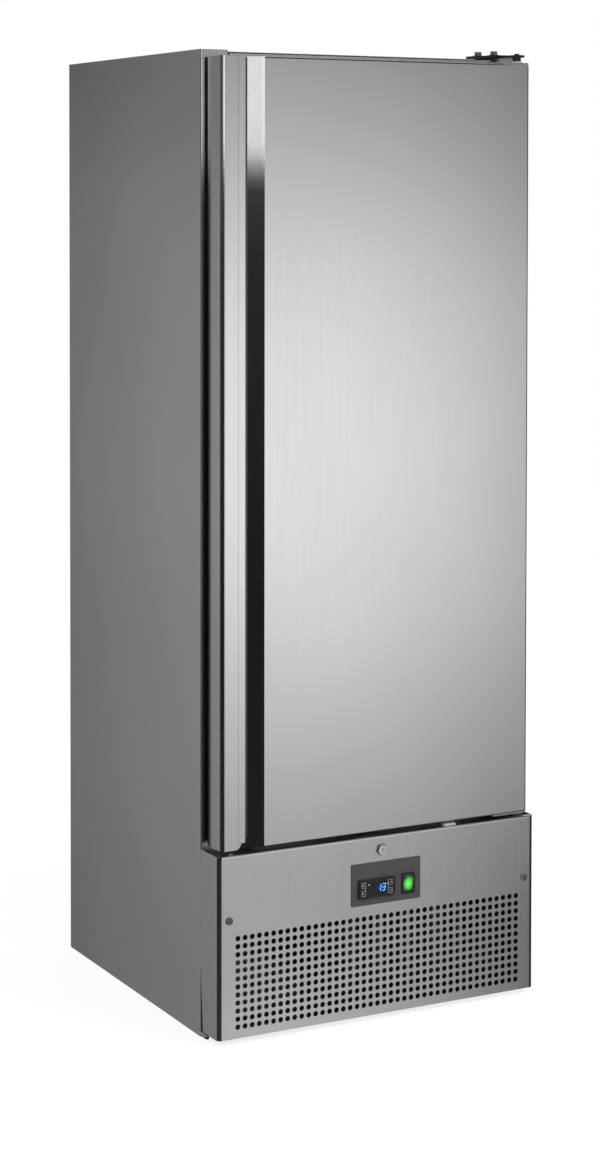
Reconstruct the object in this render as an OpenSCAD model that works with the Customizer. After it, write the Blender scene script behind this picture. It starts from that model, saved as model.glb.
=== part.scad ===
// Upright single-door freezer for a professional kitchen, in folded stainless sheet.
// The machine bay at the foot has a perforated front cover that carries the controls and the lock.
// Z is up, X runs to the right as seen from the front, and the front faces -Y.
// The origin is the middle of the base, at the height of the floor.

/* [Cabinet] */
// Width over the side panels
body_w = 680; // [660:5:740]
// Height to the top edge of the side panels
body_h = 1813; // [1700:1:1950]
// Depth of the cabinet box without its front cover
body_d = 622; // [600:1:680]
// Thickness of the outer sheet
sheet_t = 1; // [0.8:0.1:1.4]
// Outer radius of the folds in the sheet
fold_r = 3; // [2:0.5:4]
// Width of the front posts folded from the side panels
post_w = 55; // [50:1:60]
// Width of the returns along the back edges
back_return = 15; // [10:1:25]
// How far the top panel lies below the side panels
top_drop = 3; // [2:0.5:5]
// Height of the machine bay
bay_h = 350; // [345:1:370]
// Wall from the outside to the inside of the liner, at the sides
side_wall = 70; // [66:1:80]
// Floor of the cold space above the machine bay
floor_wall = 75; // [70:1:90]
// Wall above the liner
top_wall = 73; // [70:1:90]
// Wall behind the liner
back_wall = 78; // [74:1:90]
// Thickness of the liner
liner_t = 1; // [0.8:0.1:1.5]
// Radius of the liner's upright corners
liner_r = 14; // [8:1:18]
// Depth of the frame round the door opening
breaker_t = 12; // [9:1:16]
// Thickness of the base pan
pan_t = 2; // [1.5:0.5:3]
// Height of the base pan's upturned edges
pan_edge = 22; // [15:1:30]
// Distance of the foot sockets from the sides, front and back
foot_inset = 50; // [40:1:70]
// Bore of the foot sockets
foot_bore = 8.5; // [8:0.5:10.5]
// Height of the spacers behind the back panel
spacer_t = 5; // [4:1:10]

/* [Front cover] */
// How far the cover stands in front of the cabinet
cover_reach = 72; // [70:1:80]
// Thickness of the cover sheet
cover_t = 1.2; // [1:0.1:1.5]
// Distance of the cover's top below the top of the machine bay
cover_drop = 2; // [1:0.5:4]
// Height of the cover's lower edge above the floor
cover_foot = 12; // [10:1:16]
// Radius of the cover's upright corners
cover_r = 10; // [8:1:12]
// Width of the cover's lower return
cover_return = 15; // [10:1:20]
// Width of the tapered cut at the back of the cover's side returns
cover_cut = 10; // [6:1:16]
// Height of the tapered cut
cover_cut_h = 130; // [80:5:150]
// Diameter of the vent holes
vent_d = 10; // [8:0.2:11]
// Sideways pitch of the vent holes
vent_pitch_x = 14.6; // [13.6:0.2:18]
// Upright pitch of the vent holes
vent_pitch_z = 14.8; // [13.6:0.2:18]
// Least distance from the cover's sides to the first hole centre
vent_margin = 40; // [36:1:60]
// Height of the lowest row of hole centres
vent_floor = 33; // [30:1:40]
// Least distance from the control plate to the first hole centre below it
vent_head = 21.5; // [19:0.5:30]
// Distance of the cover screws from the sides
screw_inset = 23; // [21:1:25]
// Height of the cover screws
screw_z = 230; // [225:1:240]
// Diameter of the cover screw heads
screw_head_d = 14.5; // [10:0.5:16]

/* [Controls] */
// Width of the control plate
plate_w = 148; // [142:1:156]
// Height of the control plate
plate_h = 79; // [76:1:82]
// Thickness of the control plate
plate_t = 2; // [1:0.5:3]
// Middle of the control plate, to the right of the middle of the cabinet
plate_x = 10; // [6:1:14]
// Distance of the control plate's middle below the cover's top
plate_drop = 87; // [86:1:89]
// Width of the thermostat's front
thermostat_w = 78; // [76:1:80]
// Height of the thermostat's front
thermostat_h = 35; // [34:1:37]
// Thickness of the thermostat's front
thermostat_lip = 3.5; // [3:0.5:5]
// Depth of the thermostat's body behind the plate
thermostat_depth = 52; // [40:1:60]
// Distance of the thermostat's middle from the plate's middle
thermostat_shift = 22; // [20:1:24]
// Distance of the controls' middle below the plate's middle
control_drop = 8; // [6:1:10]
// Width of a key
key_w = 11; // [9:0.5:12]
// Height of a key
key_h = 11; // [8:0.5:12]
// Thickness of a key
key_t = 2.2; // [2:0.1:2.6]
// How far a key stands proud
key_proud = 1; // [0.9:0.1:1.3]
// Travel of a key
key_travel = 0.8; // [0.5:0.1:0.8]
// Distance of the keys from the thermostat's middle
key_x = 31; // [29:0.5:32]
// Distance of the keys above and below the thermostat's middle
key_z = 8; // [7:0.5:9]
// Width of the rocker switch's frame
switch_w = 29; // [28:1:31]
// Height of the rocker switch's frame
switch_h = 39; // [37:1:41]
// Distance of the rocker switch from the plate's middle
switch_shift = 47; // [45:1:50]
// Width of the rocker
rocker_w = 21; // [18:0.5:22]
// Height of the rocker
rocker_h = 29; // [26:0.5:30]
// Full swing of the rocker in degrees
rocker_swing = 14; // [10:1:16]

/* [Door lock] */
// Distance of the lock below the cover's top
lock_drop = 25; // [24:1:30]
// Diameter of the lock's front ring
lock_ring_d = 23; // [20:0.5:26]
// How far the lock stands in front of the cover
lock_reach = 7; // [6:0.5:9]
// Diameter of the lock's barrel
lock_barrel_d = 18; // [16:0.5:19]
// Length of the lock's barrel behind the cover
lock_barrel_l = 24; // [20:1:28]
// Diameter of the lock's plug
lock_plug_d = 12; // [10:0.5:13]
// Reach of the cam from the plug's axis
cam_reach = 44; // [42:1:46]
// Width of the cam
cam_w = 12; // [10:0.5:14]
// Thickness of the cam
cam_t = 3; // [2:0.5:4]

/* [Door] */
// Distance of the door's edges inside the cabinet's sides
door_inset = 11; // [8:1:17]
// Thickness of the door
door_t = 54; // [50:1:58]
// Space between the door's back and the cabinet's front
door_gap = 8; // [7:0.5:10]
// Space between the cover's top and the door's foot
door_foot_gap = 7; // [7:0.5:10]
// Distance of the door's top below the top of the side panels
door_head_drop = 14; // [12:1:20]
// Radius of the door's upright edge on the handle side
door_r = 10; // [8:0.5:11]
// Radius of the door's other edges and corners
door_edge_r = 4; // [3:0.5:5]
// Width of the strip outside the handle recess
strip_w = 50; // [47:1:54]
// Width of the opening of the handle recess
recess_w = 38.5; // [34:0.5:44]
// Slope of the recess's floor in degrees
recess_slope = 31; // [27:1:33]
// Inner radius of the recess's bend
recess_r = 12; // [10:1:13]
// Depth of the finger space behind the strip
undercut = 26; // [22:1:28]
// Thickness of the strip's rolled edge
hem_t = 5; // [4:0.5:6]
// Thickness of the recess's lining
trough_t = 1.2; // [1:0.1:1.6]
// Height of the relief cut at the foot of the strip
relief_h = 12; // [8:1:14]
// Distance of the finger space's end caps from the door's ends
cap_inset = 8; // [6:1:12]
// Thickness of the finger space's end caps
cap_t = 3; // [2:0.5:4]
// Width of the gasket
gasket_w = 18; // [16:1:20]
// Distance of the gasket from the sides of the cabinet
gasket_inset = 32; // [30:1:35]
// Height of the raised middle of the door's inner panel
plug_rise = 12; // [8:1:16]

/* [Hinges] */
// Diameter of the hinge pins
pin_d = 10; // [8:0.5:11]
// Distance of the pins from the door's edge
pin_inset = 16; // [14:0.5:18]
// Distance of the pins behind the door's front
pin_depth = 20; // [18:0.5:22]
// Length of each pin inside the door
pin_grip = 20; // [16:1:26]
// Running clearance of the pins in their bushes, on the radius
pin_play = 0.08; // [0.03:0.01:0.1]
// Wall of the bushes
bush_wall = 2; // [1.5:0.5:3]
// Thickness of the hinge brackets
bracket_t = 4; // [3:0.5:4]
// Width of the top bracket along the front
bracket_w = 82; // [76:1:90]
// Depth of the top bracket on the cabinet
bracket_d = 42; // [38:1:60]
// Thickness of the steel plates on the door's ends
door_plate_t = 3; // [2:0.5:3.5]
// Width of the steel plates on the door's ends
door_plate_w = 74; // [60:1:84]
// Diameter of the hinge bolts' heads
bolt_head_d = 13.5; // [12:0.5:16]

/* [Cold space] */
// Space between two shelves
shelf_pitch = 233; // [220:1:240]
// Gap between a shelf and the liner at each side
shelf_gap = 12; // [10:1:16]
// Diameter of a shelf's frame wire
frame_wire = 7; // [6:0.5:8]
// Diameter of a shelf's cross wires
cross_wire = 4; // [3:0.5:5]
// Pitch of a shelf's cross wires
wire_pitch = 27; // [22:1:36]
// Width of the upright strips that carry the shelves
upright_w = 20; // [16:1:24]
// Pitch of the slots in the upright strips
slot_pitch = 50; // [40:1:60]
// Height of the evaporator housing
housing_h = 148; // [146:1:156]
// Depth of the evaporator housing
housing_d = 400; // [390:1:420]
// Thickness of the evaporator housing's sheet
housing_t = 1.5; // [1:0.1:2]
// Diameter of the evaporator fan
cold_fan_d = 112; // [100:1:120]

/* [Machine bay] */
// Diameter of the compressor shell
compressor_d = 176; // [150:1:190]
// Height of the compressor shell
compressor_h = 190; // [170:1:210]
// Outer diameter of the coil tubes
tube_d = 8; // [7:0.5:9.5]
// Pitch of the coil tubes
tube_pitch = 28; // [26:1:30]
// Number of condenser tubes one above the other
condenser_rows = 9; // [7:1:9]
// Width of the condenser's fin block
condenser_w = 260; // [220:5:265]
// Pitch of the fins
fin_pitch = 12; // [10:1:16]
// Thickness of a fin
fin_t = 0.8; // [0.5:0.1:1]
// Diameter of the condenser fan
fan_d = 220; // [180:2:222]
// Outer diameter of the drain tube
drain_d = 16; // [14:1:18]
// Bore of the mains cord's gland
gland_bore = 9; // [7:0.5:11]

/* [Hidden] */
$fn = 48;

steel = "#b9bcbd";
bright_steel = "#dfe3e5";
dark_grey = "#4a4b4d";
near_black = "#1f2022";
copper = "#b46a45";

// Planes of the cabinet
overall_d = lock_reach + cover_reach + body_d + spacer_t;
cover_y = lock_reach - overall_d / 2;
front_y = cover_y + cover_reach;
back_y = front_y + body_d;
half_w = body_w / 2;
top_z = body_h - top_drop;
frame_x = half_w - post_w;
liner_x = half_w - side_wall;
frame_w = frame_x - liner_x;
liner_floor = bay_h + floor_wall;
liner_roof = body_h - top_wall;
liner_back = back_y - back_wall;
liner_front = front_y + breaker_t;
wall_mid_y = (liner_back + liner_t + back_y - sheet_t) / 2;

// Planes of the door
door_y0 = front_y - door_gap - door_t;
door_y1 = front_y - door_gap;
cover_top = bay_h - cover_drop;
door_z0 = cover_top + door_foot_gap;
door_z1 = body_h - door_head_drop;
door_w = body_w - 2 * door_inset;
half_door = door_w / 2;
strip_x = strip_w - half_door;
panel_x = strip_x + recess_w;
pin_x = half_door - pin_inset;
pin_y = door_y0 + pin_depth;
bush_d = pin_d + 2 * (pin_play + bush_wall);
bush_flange_d = bush_d + 8;
fit = 0.3;
hair = 0.05;

// Lock
lock_z = cover_top - lock_drop;
plug_back_y = cover_y + cover_t + lock_barrel_l + 2;
cam_y0 = plug_back_y;
cam_y1 = plug_back_y + cam_t;
cam_room = 3;
cam_swing_x = sqrt(cam_reach * cam_reach - lock_drop * lock_drop) + cam_room + 2;

// Controls
plate_y = cover_y - plate_t;
plate_z = cover_top - plate_drop;
control_z = plate_z - control_drop;
thermostat_x = plate_x - thermostat_shift;
switch_x = plate_x + switch_shift;
thermostat_body_w = thermostat_w - 7;
thermostat_body_h = thermostat_h - 6;
thermostat_y = plate_y - thermostat_lip;
switch_lip = 2;
switch_body_w = switch_w - 5;
switch_body_h = switch_h - 5;
switch_body_d = 26;
rocker_pivot_y = plate_y + 5;
rocker_pivot_d = 5;
rocker_play = 0.05;

// Helpers
module span(a, b) translate(a) cube(b - a);
module span2(a, b) translate(a) square(b - a);
module rod_x(at, length, d) translate(at) rotate([0, 90, 0]) cylinder(d = d, h = length);
module rod_y(at, length, d) translate(at) rotate([-90, 0, 0]) cylinder(d = d, h = length);
module rod_z(at, length, d) translate(at) cylinder(d = d, h = length);

// Raises a plan drawn in X and Y from one height to another
module upright(z0, z1) translate([0, 0, z0]) linear_extrude(z1 - z0) children();

// Stands a front view drawn in X and Z up between two depths
module facing(y0, y1) translate([0, y1, 0]) rotate([90, 0, 0]) linear_extrude(y1 - y0) children();

// Stretches a side view drawn in Y and Z sideways
module sideways(x0, x1) translate([x0, 0, 0]) rotate([90, 0, 90]) linear_extrude(x1 - x0) children();

module quarter_ring(r, t) {
  intersection() {
    difference() {
      circle(r);
      circle(r - t);
    }
    square(r);
  }
}

// Section of a folded sheet's outer corner at a front plane and a top height, with two short legs
module fold_section(y, z, t) {
  leg = 5;
  translate([y, z]) {
    translate([fold_r, -fold_r]) mirror([1, 0]) quarter_ring(fold_r, t);
    span2([0, -fold_r - leg], [t, -fold_r]);
    span2([fold_r, -t], [fold_r + leg, 0]);
  }
}

module round_rect(w, h, r) {
  square([w - 2 * r, h], center = true);
  square([w, h - 2 * r], center = true);
  for (x = [-1, 1], y = [-1, 1]) translate([x * (w / 2 - r), y * (h / 2 - r)]) circle(r);
}

// A straight tube between two points, and a run of them with brazed elbows
module stretch(a, b, d) {
  v = b - a;
  l = norm(v);
  translate(a) rotate([0, acos(v.z / l), atan2(v.y, v.x)]) cylinder(d = d, h = l, $fn = 24);
}

module pipe(points, d) {
  for (i = [0 : len(points) - 2]) stretch(points[i], points[i + 1], d);
  for (i = [1 : len(points) - 2]) translate(points[i]) sphere(d = d * 1.12, $fn = 24);
}

// Plan of the cabinet box, drawn in by e, with its folded front edges
module cabinet_plan(e) {
  span2([e - half_w, front_y + fold_r], [half_w - e, back_y - e]);
  span2([fold_r - half_w, front_y + e], [half_w - fold_r, front_y + fold_r]);
  for (s = [-1, 1]) translate([s * (half_w - fold_r), front_y + fold_r]) circle(fold_r - e);
}

// Plan of the liner, let out by e, from a front plane to the back
module liner_plan(e, y_from) {
  span2([-liner_x - e, y_from], [liner_x + e, liner_back - liner_r]);
  span2([liner_r - liner_x, liner_back - liner_r], [liner_x - liner_r, liner_back + e]);
  for (s = [-1, 1]) translate([s * (liner_x - liner_r), liner_back - liner_r]) circle(liner_r + e);
}

// Cabinet shell

module side_plan() {
  translate([fold_r - half_w, front_y + fold_r]) rotate(180) quarter_ring(fold_r, sheet_t);
  span2([-half_w, front_y + fold_r], [sheet_t - half_w, back_y]);
  span2([fold_r - half_w, front_y], [-frame_x, front_y + sheet_t]);
  span2([sheet_t - half_w, back_y - sheet_t], [back_return - half_w, back_y]);
}

module left_side_panel() {
  lug_reach = 25;
  lug_h = 9;
  color(steel) {
    upright(0, body_h) side_plan();
    sideways(-half_w, sheet_t - half_w) polygon([
      [front_y + 2 * fold_r, 0], [front_y + 2 * fold_r, lug_h + 2],
      [front_y, lug_h + 2], [front_y - lug_reach, lug_h], [front_y - lug_reach, lug_h - 2], [front_y, 0]]);
  }
}

module right_side_panel() { mirror([1, 0, 0]) left_side_panel(); }

module top_panel() {
  color(steel) {
    upright(top_z - sheet_t, top_z) difference() {
      cabinet_plan(sheet_t);
      span2([-frame_x, front_y], [frame_x, front_y + fold_r]);
    }
    sideways(-frame_x, frame_x) fold_section(front_y, top_z, sheet_t);
    span([-frame_x, front_y, liner_roof + frame_w], [frame_x, front_y + sheet_t, top_z - fold_r]);
  }
}

module back_panel() {
  color(steel) difference() {
    span([back_return - half_w, back_y - sheet_t, bay_h], [half_w - back_return, back_y, top_z - sheet_t]);
    for (p = spacer_places) rod_y([p.x, back_y - sheet_t - 1, p.y], sheet_t + 2, spacer_stem_d);
  }
}

module bay_ceiling() {
  color(steel) difference() {
    union() {
      upright(bay_h, bay_h + sheet_t) difference() {
        union() {
          cabinet_plan(sheet_t);
          span2([-frame_x, front_y], [frame_x, front_y + 2 * sheet_t]);
        }
        span2([-half_w, back_y - sheet_t], [half_w, back_y]);
      }
      span([-frame_x, front_y, bay_h], [frame_x, front_y + sheet_t, liner_floor - frame_w]);
    }
    wall_bores(bay_h - 1, bay_h + sheet_t + 1);
  }
}

// Bores for the drain tube and the two refrigerant lines that rise in the back wall
module wall_bores(z0, z1) {
  rod_z([drain_x, wall_mid_y, z0], z1 - z0, drain_d + 2 * fit);
  rod_z([suction_x, wall_mid_y, z0], z1 - z0, suction_d + 2 * fit);
  rod_z([liquid_x, wall_mid_y, z0], z1 - z0, liquid_d + 2 * fit);
}

module wall_elbows() {
  pipe(drain_route, drain_d + 2 * fit);
  pipe(suction_route, suction_d + 2 * fit);
  pipe(liquid_route, liquid_d + 2 * fit);
}

module insulation_foam() {
  color("#e8d9a8") difference() {
    upright(bay_h + sheet_t, top_z - sheet_t) difference() {
      cabinet_plan(sheet_t);
      span2([-half_w, back_y - sheet_t], [half_w, back_y]);
    }
    upright(liner_floor - liner_t, liner_roof + liner_t) liner_plan(liner_t, front_y);
    span([-frame_x, front_y, liner_floor - frame_w], [frame_x, liner_front, liner_roof + frame_w]);
    span([-frame_x, front_y, top_z - fold_r], [frame_x, front_y + fold_r, top_z]);
    wall_elbows();
    for (p = spacer_places) rod_y([p.x, back_y - spacer_stem_l - fit, p.y], spacer_stem_l + 1, spacer_stem_d);
  }
}

module inner_liner() {
  color(bright_steel) difference() {
    upright(liner_floor - liner_t, liner_roof + liner_t) liner_plan(liner_t, liner_front);
    upright(liner_floor, liner_roof) liner_plan(0, front_y);
    wall_elbows();
  }
}

module breaker_frame() {
  color("#8f9294") difference() {
    span([-frame_x, front_y, liner_floor - frame_w], [frame_x, liner_front, liner_roof + frame_w]);
    span([-liner_x, front_y - 1, liner_floor], [liner_x, liner_front + 1, liner_roof]);
  }
}

// Four welded sockets under the pan take screw-in feet or castors
foot_places = [for (x = [-1, 1], y = [0, 1])
  [x * (half_w - foot_inset), y ? back_y - foot_inset : front_y + foot_inset]];
socket_d = 24;
socket_h = 26;

module base_pan() {
  color("#8d9194") difference() {
    union() {
      upright(0, pan_t) cabinet_plan(sheet_t);
      span([-frame_x, front_y + sheet_t, 0], [frame_x, front_y + sheet_t + pan_t, pan_edge]);
      span([back_return - half_w, back_y - sheet_t - pan_t, 0],
           [half_w - back_return, back_y - sheet_t, pan_edge]);
      for (p = foot_places) rod_z([p.x, p.y, 0], socket_h, socket_d);
    }
    for (p = foot_places) rod_z([p.x, p.y, -1], socket_h + 2, foot_bore);
  }
}

// Perforated front cover: a front sheet with folded sides, top and foot

vent_columns = floor((body_w - 2 * vent_margin) / vent_pitch_x) + 1;
vent_rows = floor((plate_z - plate_h / 2 - vent_head - vent_floor) / vent_pitch_z) + 1;
vent_x0 = -(vent_columns - 1) * vent_pitch_x / 2;
screw_x = half_w - screw_inset;
screw_hole_d = 6;

module cover_outline(y_to) {
  span2([-half_w, cover_y + cover_r], [half_w, y_to]);
  span2([cover_r - half_w, cover_y], [half_w - cover_r, cover_y + cover_r]);
  for (s = [-1, 1]) translate([s * (half_w - cover_r), cover_y + cover_r]) circle(cover_r);
}

module cover_sides_plan() {
  for (m = [0, 1]) mirror([m, 0]) {
    translate([cover_r - half_w, cover_y + cover_r]) rotate(180) quarter_ring(cover_r, cover_t);
    span2([-half_w, cover_y + cover_r], [cover_t - half_w, front_y]);
  }
}

module cover_face() {
  difference() {
    span2([cover_r - half_w, cover_foot], [half_w - cover_r, cover_top - fold_r]);
    for (i = [0 : vent_columns - 1], j = [0 : vent_rows - 1])
      translate([vent_x0 + i * vent_pitch_x, vent_floor + j * vent_pitch_z]) circle(d = vent_d, $fn = 24);
    for (s = [-1, 1]) translate([s * screw_x, screw_z]) circle(d = screw_hole_d);
    translate([0, lock_z]) circle(d = lock_barrel_d + 2 * fit);
    control_cutouts(fit);
  }
}

module control_cutouts(e) {
  translate([thermostat_x, control_z]) square([thermostat_body_w + 2 * e, thermostat_body_h + 2 * e], center = true);
  translate([switch_x, control_z]) square([switch_body_w + 2 * e, switch_body_h + 2 * e], center = true);
}

module front_cover() {
  color(steel) difference() {
    union() {
      facing(cover_y, cover_y + cover_t) cover_face();
      upright(cover_foot, cover_top - cover_t) cover_sides_plan();
      upright(cover_top - cover_t, cover_top) difference() {
        cover_outline(front_y);
        span2([cover_r - half_w, cover_y], [half_w - cover_r, cover_y + fold_r]);
      }
      sideways(cover_r - half_w, half_w - cover_r) fold_section(cover_y, cover_top, cover_t);
      upright(cover_foot, cover_foot + cover_t) intersection() {
        cover_outline(front_y);
        span2([cover_t - half_w, cover_y + cover_t], [half_w - cover_t, cover_y + cover_return]);
      }
    }
    for (s = [-1, 1]) sideways(s * half_w - 3, s * half_w + 3)
      polygon([[front_y + 1, cover_foot - 1], [front_y - cover_cut, cover_foot - 1], [front_y + 1, cover_foot + cover_cut_h]]);
    span([-cam_swing_x, cam_y0 - cam_room, cover_top - cover_t - 1], [cam_w / 2 + cam_room, cam_y1 + cam_room, cover_top + 1]);
    bracket_notch();
  }
}

// Room in the cover's top for the lower hinge bracket
module bracket_notch() {
  span([arm_x0 - 3, pin_y - arm_r - 3, cover_top - bracket_t - 1], [half_w - cover_t, front_y + 1, cover_top + 1]);
}

module cover_screws() {
  color("#8b8e90") for (s = [-1, 1]) {
    translate([s * screw_x, cover_y, screw_z]) rotate([90, 0, 0]) screw_head();
    rod_y([s * screw_x, cover_y, screw_z], cover_t + 14, screw_hole_d - 2 * fit);
  }
}

// Low domed head with a cross recess
module screw_head() {
  dome_r = 12;
  head_t = 4;
  difference() {
    intersection() {
      cylinder(d = screw_head_d, h = head_t);
      translate([0, 0, head_t - dome_r]) sphere(dome_r, $fn = 64);
    }
    for (a = [0, 90]) rotate(a) translate([-3.5, -0.8, head_t - 1.6]) cube([7, 1.6, 2]);
  }
}

// Brackets on the posts hold the cover's screws
bracket_tab = 24;
cover_bracket_t = 2;

module cover_brackets() {
  x_in = screw_x - bracket_tab / 2;
  x_out = screw_x + bracket_tab / 2 - 2;
  z0 = screw_z - 15;
  z1 = screw_z + 15;
  color("#9a9da0") for (m = [0, 1]) mirror([m, 0, 0]) difference() {
    union() {
      span([x_in, cover_y + cover_t, z0], [x_in + cover_bracket_t, front_y, z1]);
      span([x_in, cover_y + cover_t, z0], [x_out, cover_y + cover_t + cover_bracket_t, z1]);
      span([x_in, front_y - cover_bracket_t, z0], [x_out, front_y, z1]);
    }
    rod_y([screw_x, cover_y, screw_z], 10, screw_hole_d);
  }
}

// Controls on the cover

module control_plate() {
  color(dark_grey) facing(plate_y, cover_y) difference() {
    translate([plate_x, plate_z]) round_rect(plate_w, plate_h, 2);
    control_cutouts(fit);
  }
}

key_places = [[-key_x, key_z], [-key_x, -key_z], [key_x, key_z], [key_x, -key_z]];
key_pocket = key_t - key_proud + key_travel + 0.2;

module thermostat_case() {
  color(near_black) difference() {
    union() {
      facing(thermostat_y, plate_y) translate([thermostat_x, control_z]) round_rect(thermostat_w, thermostat_h, 3);
      facing(plate_y, plate_y + thermostat_depth) translate([thermostat_x, control_z])
        square([thermostat_body_w, thermostat_body_h], center = true);
    }
    for (p = key_places) facing(thermostat_y - 1, thermostat_y + key_pocket)
      translate([thermostat_x + p.x, control_z + p.y]) round_rect(key_w + 2 * fit, key_h + 2 * fit, 1.5 + fit);
  }
}

module key_body(place) {
  color("#2b2d30") facing(thermostat_y - key_proud, thermostat_y - key_proud + key_t)
    translate([thermostat_x + place.x, control_z + place.y]) round_rect(key_w, key_h, 1.5);
}

module key_set() { key_body(key_places[0]); }
module key_light() { key_body(key_places[1]); }
module key_up() { key_body(key_places[2]); }
module key_down() { key_body(key_places[3]); }

rocker_room = 1;

module rocker_frame() {
  color("#161718") difference() {
    union() {
      facing(plate_y - switch_lip, plate_y) translate([switch_x, control_z]) round_rect(switch_w, switch_h, 2);
      facing(plate_y, plate_y + switch_body_d) translate([switch_x, control_z])
        square([switch_body_w, switch_body_h], center = true);
    }
    span([switch_x - rocker_w / 2 - fit, plate_y - switch_lip - 1, control_z - rocker_h / 2 - rocker_room],
         [switch_x + rocker_w / 2 + fit, plate_y + switch_body_d - 4, control_z + rocker_h / 2 + rocker_room]);
    rod_x([switch_x - rocker_w / 2 - 1.2, rocker_pivot_y, control_z], rocker_w + 2.4, rocker_pivot_d + 2 * rocker_play);
  }
}

// The rocker rests with its lower half pressed in
module rocker() {
  half = rocker_h / 2;
  rise = half * tan(rocker_swing / 2);
  color("#35c43c") translate([0, rocker_pivot_y, control_z]) rotate([rocker_swing / 2, 0, 0]) union() {
    sideways(switch_x - rocker_w / 2, switch_x + rocker_w / 2)
      polygon([[-6.2, 0], [-6 - rise, half - 1], [1, half - 1], [5, 5], [5, -5], [1, 1 - half], [-6 - rise, 1 - half]]);
    rod_x([switch_x - rocker_w / 2 - 1, 0, 0], rocker_w + 2, rocker_pivot_d);
  }
}

// Lock

module lock_barrel() {
  nut_t = 4;
  color(bright_steel) difference() {
    union() {
      translate([0, cover_y, lock_z]) rotate([90, 0, 0]) rotate_extrude()
        polygon([[0, 0], [lock_ring_d / 2, 0], [lock_ring_d / 2, 2.5], [lock_ring_d / 2 - 2.5, lock_reach], [0, lock_reach]]);
      rod_y([0, cover_y, lock_z], cover_t + lock_barrel_l, lock_barrel_d);
      translate([0, cover_y + cover_t + nut_t, lock_z]) rotate([90, 0, 0]) cylinder(d = lock_barrel_d + 8, h = nut_t, $fn = 6);
    }
    rod_y([0, cover_y - lock_reach - 1, lock_z], lock_reach + cover_t + lock_barrel_l + 2, lock_plug_d + 0.1);
  }
}

module lock_plug() {
  plug_face_y = cover_y - lock_reach + 0.8;
  color(bright_steel) difference() {
    union() {
      rod_y([0, plug_face_y, lock_z], plug_back_y - plug_face_y, lock_plug_d);
      facing(cam_y0, cam_y1) union() {
        translate([0, lock_z]) circle(d = cam_w + 4);
        span2([cam_w / 2 - cam_reach, lock_z - cam_w / 2], [0, lock_z + cam_w / 2]);
        translate([cam_w / 2 - cam_reach, lock_z]) circle(d = cam_w);
      }
      rod_y([0, cam_y1, lock_z], 3, 8);
    }
    translate([0, plug_face_y, lock_z]) rotate([0, 30, 0]) cube([1.8, 8, 7.5], center = true);
  }
}

// Machine bay

compressor_side = 150;
compressor_back = 198;
compressor_x = compressor_side - half_w;
compressor_y = back_y - compressor_back;
grommet_h = 14;
mount_plate_t = 3;
mount_w = 200;
mount_d = 140;
mount_holes = [for (x = [-1, 1], y = [-1, 1]) [compressor_x + x * (mount_w / 2 - 16), compressor_y + y * (mount_d / 2 - 16)]];
shell_z = pan_t + grommet_h + mount_plate_t;

module compressor() {
  color("#1b1c1e") {
    translate([compressor_x, compressor_y, shell_z]) rotate_extrude() intersection() {
      translate([0, compressor_h / 2]) round_rect(compressor_d, compressor_h, 48);
      square([compressor_d / 2, compressor_h]);
    }
    rod_z([compressor_x, compressor_y, shell_z + compressor_h * 0.52], 8, compressor_d + 5);
    difference() {
      upright(shell_z - mount_plate_t, shell_z + 1) translate([compressor_x, compressor_y]) round_rect(mount_w, mount_d, 14);
      for (p = mount_holes) rod_z([p.x, p.y, shell_z - mount_plate_t - 1], mount_plate_t + 3, 14);
    }
    span([compressor_x + compressor_d / 2 - 14, compressor_y - 30, shell_z + 60],
         [compressor_x + compressor_d / 2 + 24, compressor_y + 30, shell_z + 130]);
  }
}

module compressor_grommets() {
  color("#2a2a2c") for (p = mount_holes) {
    rod_z([p.x, p.y, pan_t], grommet_h, 26);
    rod_z([p.x, p.y, pan_t + grommet_h], mount_plate_t + 5, 14 - 2 * fit);
    rod_z([p.x, p.y, pan_t + grommet_h + mount_plate_t + 1 + fit], 4, 22);
  }
}

// A serpentine coil in Y and Z with its tubes along X, and the fins it passes through
function snake(k, rows) = let (c = floor(k / rows), r = k % rows) [c, c % 2 == 0 ? r : rows - 1 - r];

module coil(origin, columns, rows, length) {
  places = [for (k = [0 : columns * rows - 1]) origin + tube_pitch * [0, snake(k, rows).x, snake(k, rows).y]];
  for (p = places) rod_x(p, length, tube_d);
  for (k = [0 : len(places) - 2]) {
    mid = (places[k] + places[k + 1]) / 2;
    step = places[k + 1] - places[k];
    turn = atan2(step.z, step.y);
    side = k % 2;
    translate(mid + [side ? 0 : length, 0, 0]) rotate([turn, 0, 0]) rotate([0, 0, side ? 90 : -90])
      rotate_extrude(angle = 180) translate([tube_pitch / 2, 0]) circle(d = tube_d, $fn = 24);
  }
}

module fins(origin, columns, rows, length, border) {
  count = floor(length / fin_pitch);
  for (i = [0 : count]) sideways(origin.x + i * fin_pitch, origin.x + i * fin_pitch + fin_t) difference() {
    span2([origin.y - border, origin.z - border],
          [origin.y + (columns - 1) * tube_pitch + border, origin.z + (rows - 1) * tube_pitch + border]);
    for (c = [0 : columns - 1], r = [0 : rows - 1])
      translate([origin.y + c * tube_pitch, origin.z + r * tube_pitch]) circle(d = tube_d + 0.3, $fn = 24);
  }
}

fin_border = 12;
condenser_columns = 2;
condenser_at = [compressor_x + 160, front_y + 26, pan_t + fit + fin_border];
condenser_top = condenser_at.z + (condenser_rows - 1) * tube_pitch + fin_border;
condenser_back = condenser_at.y + (condenser_columns - 1) * tube_pitch + fin_border;
fan_x = condenser_at.x + condenser_w / 2;
fan_z = condenser_at.z + (condenser_rows - 1) * tube_pitch / 2;
fan_y = condenser_back + 24;
coil_over = 14;

module condenser_coil() {
  color(copper) coil(condenser_at - [coil_over, 0, 0], condenser_columns, condenser_rows, condenser_w + 2 * coil_over);
}

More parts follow.
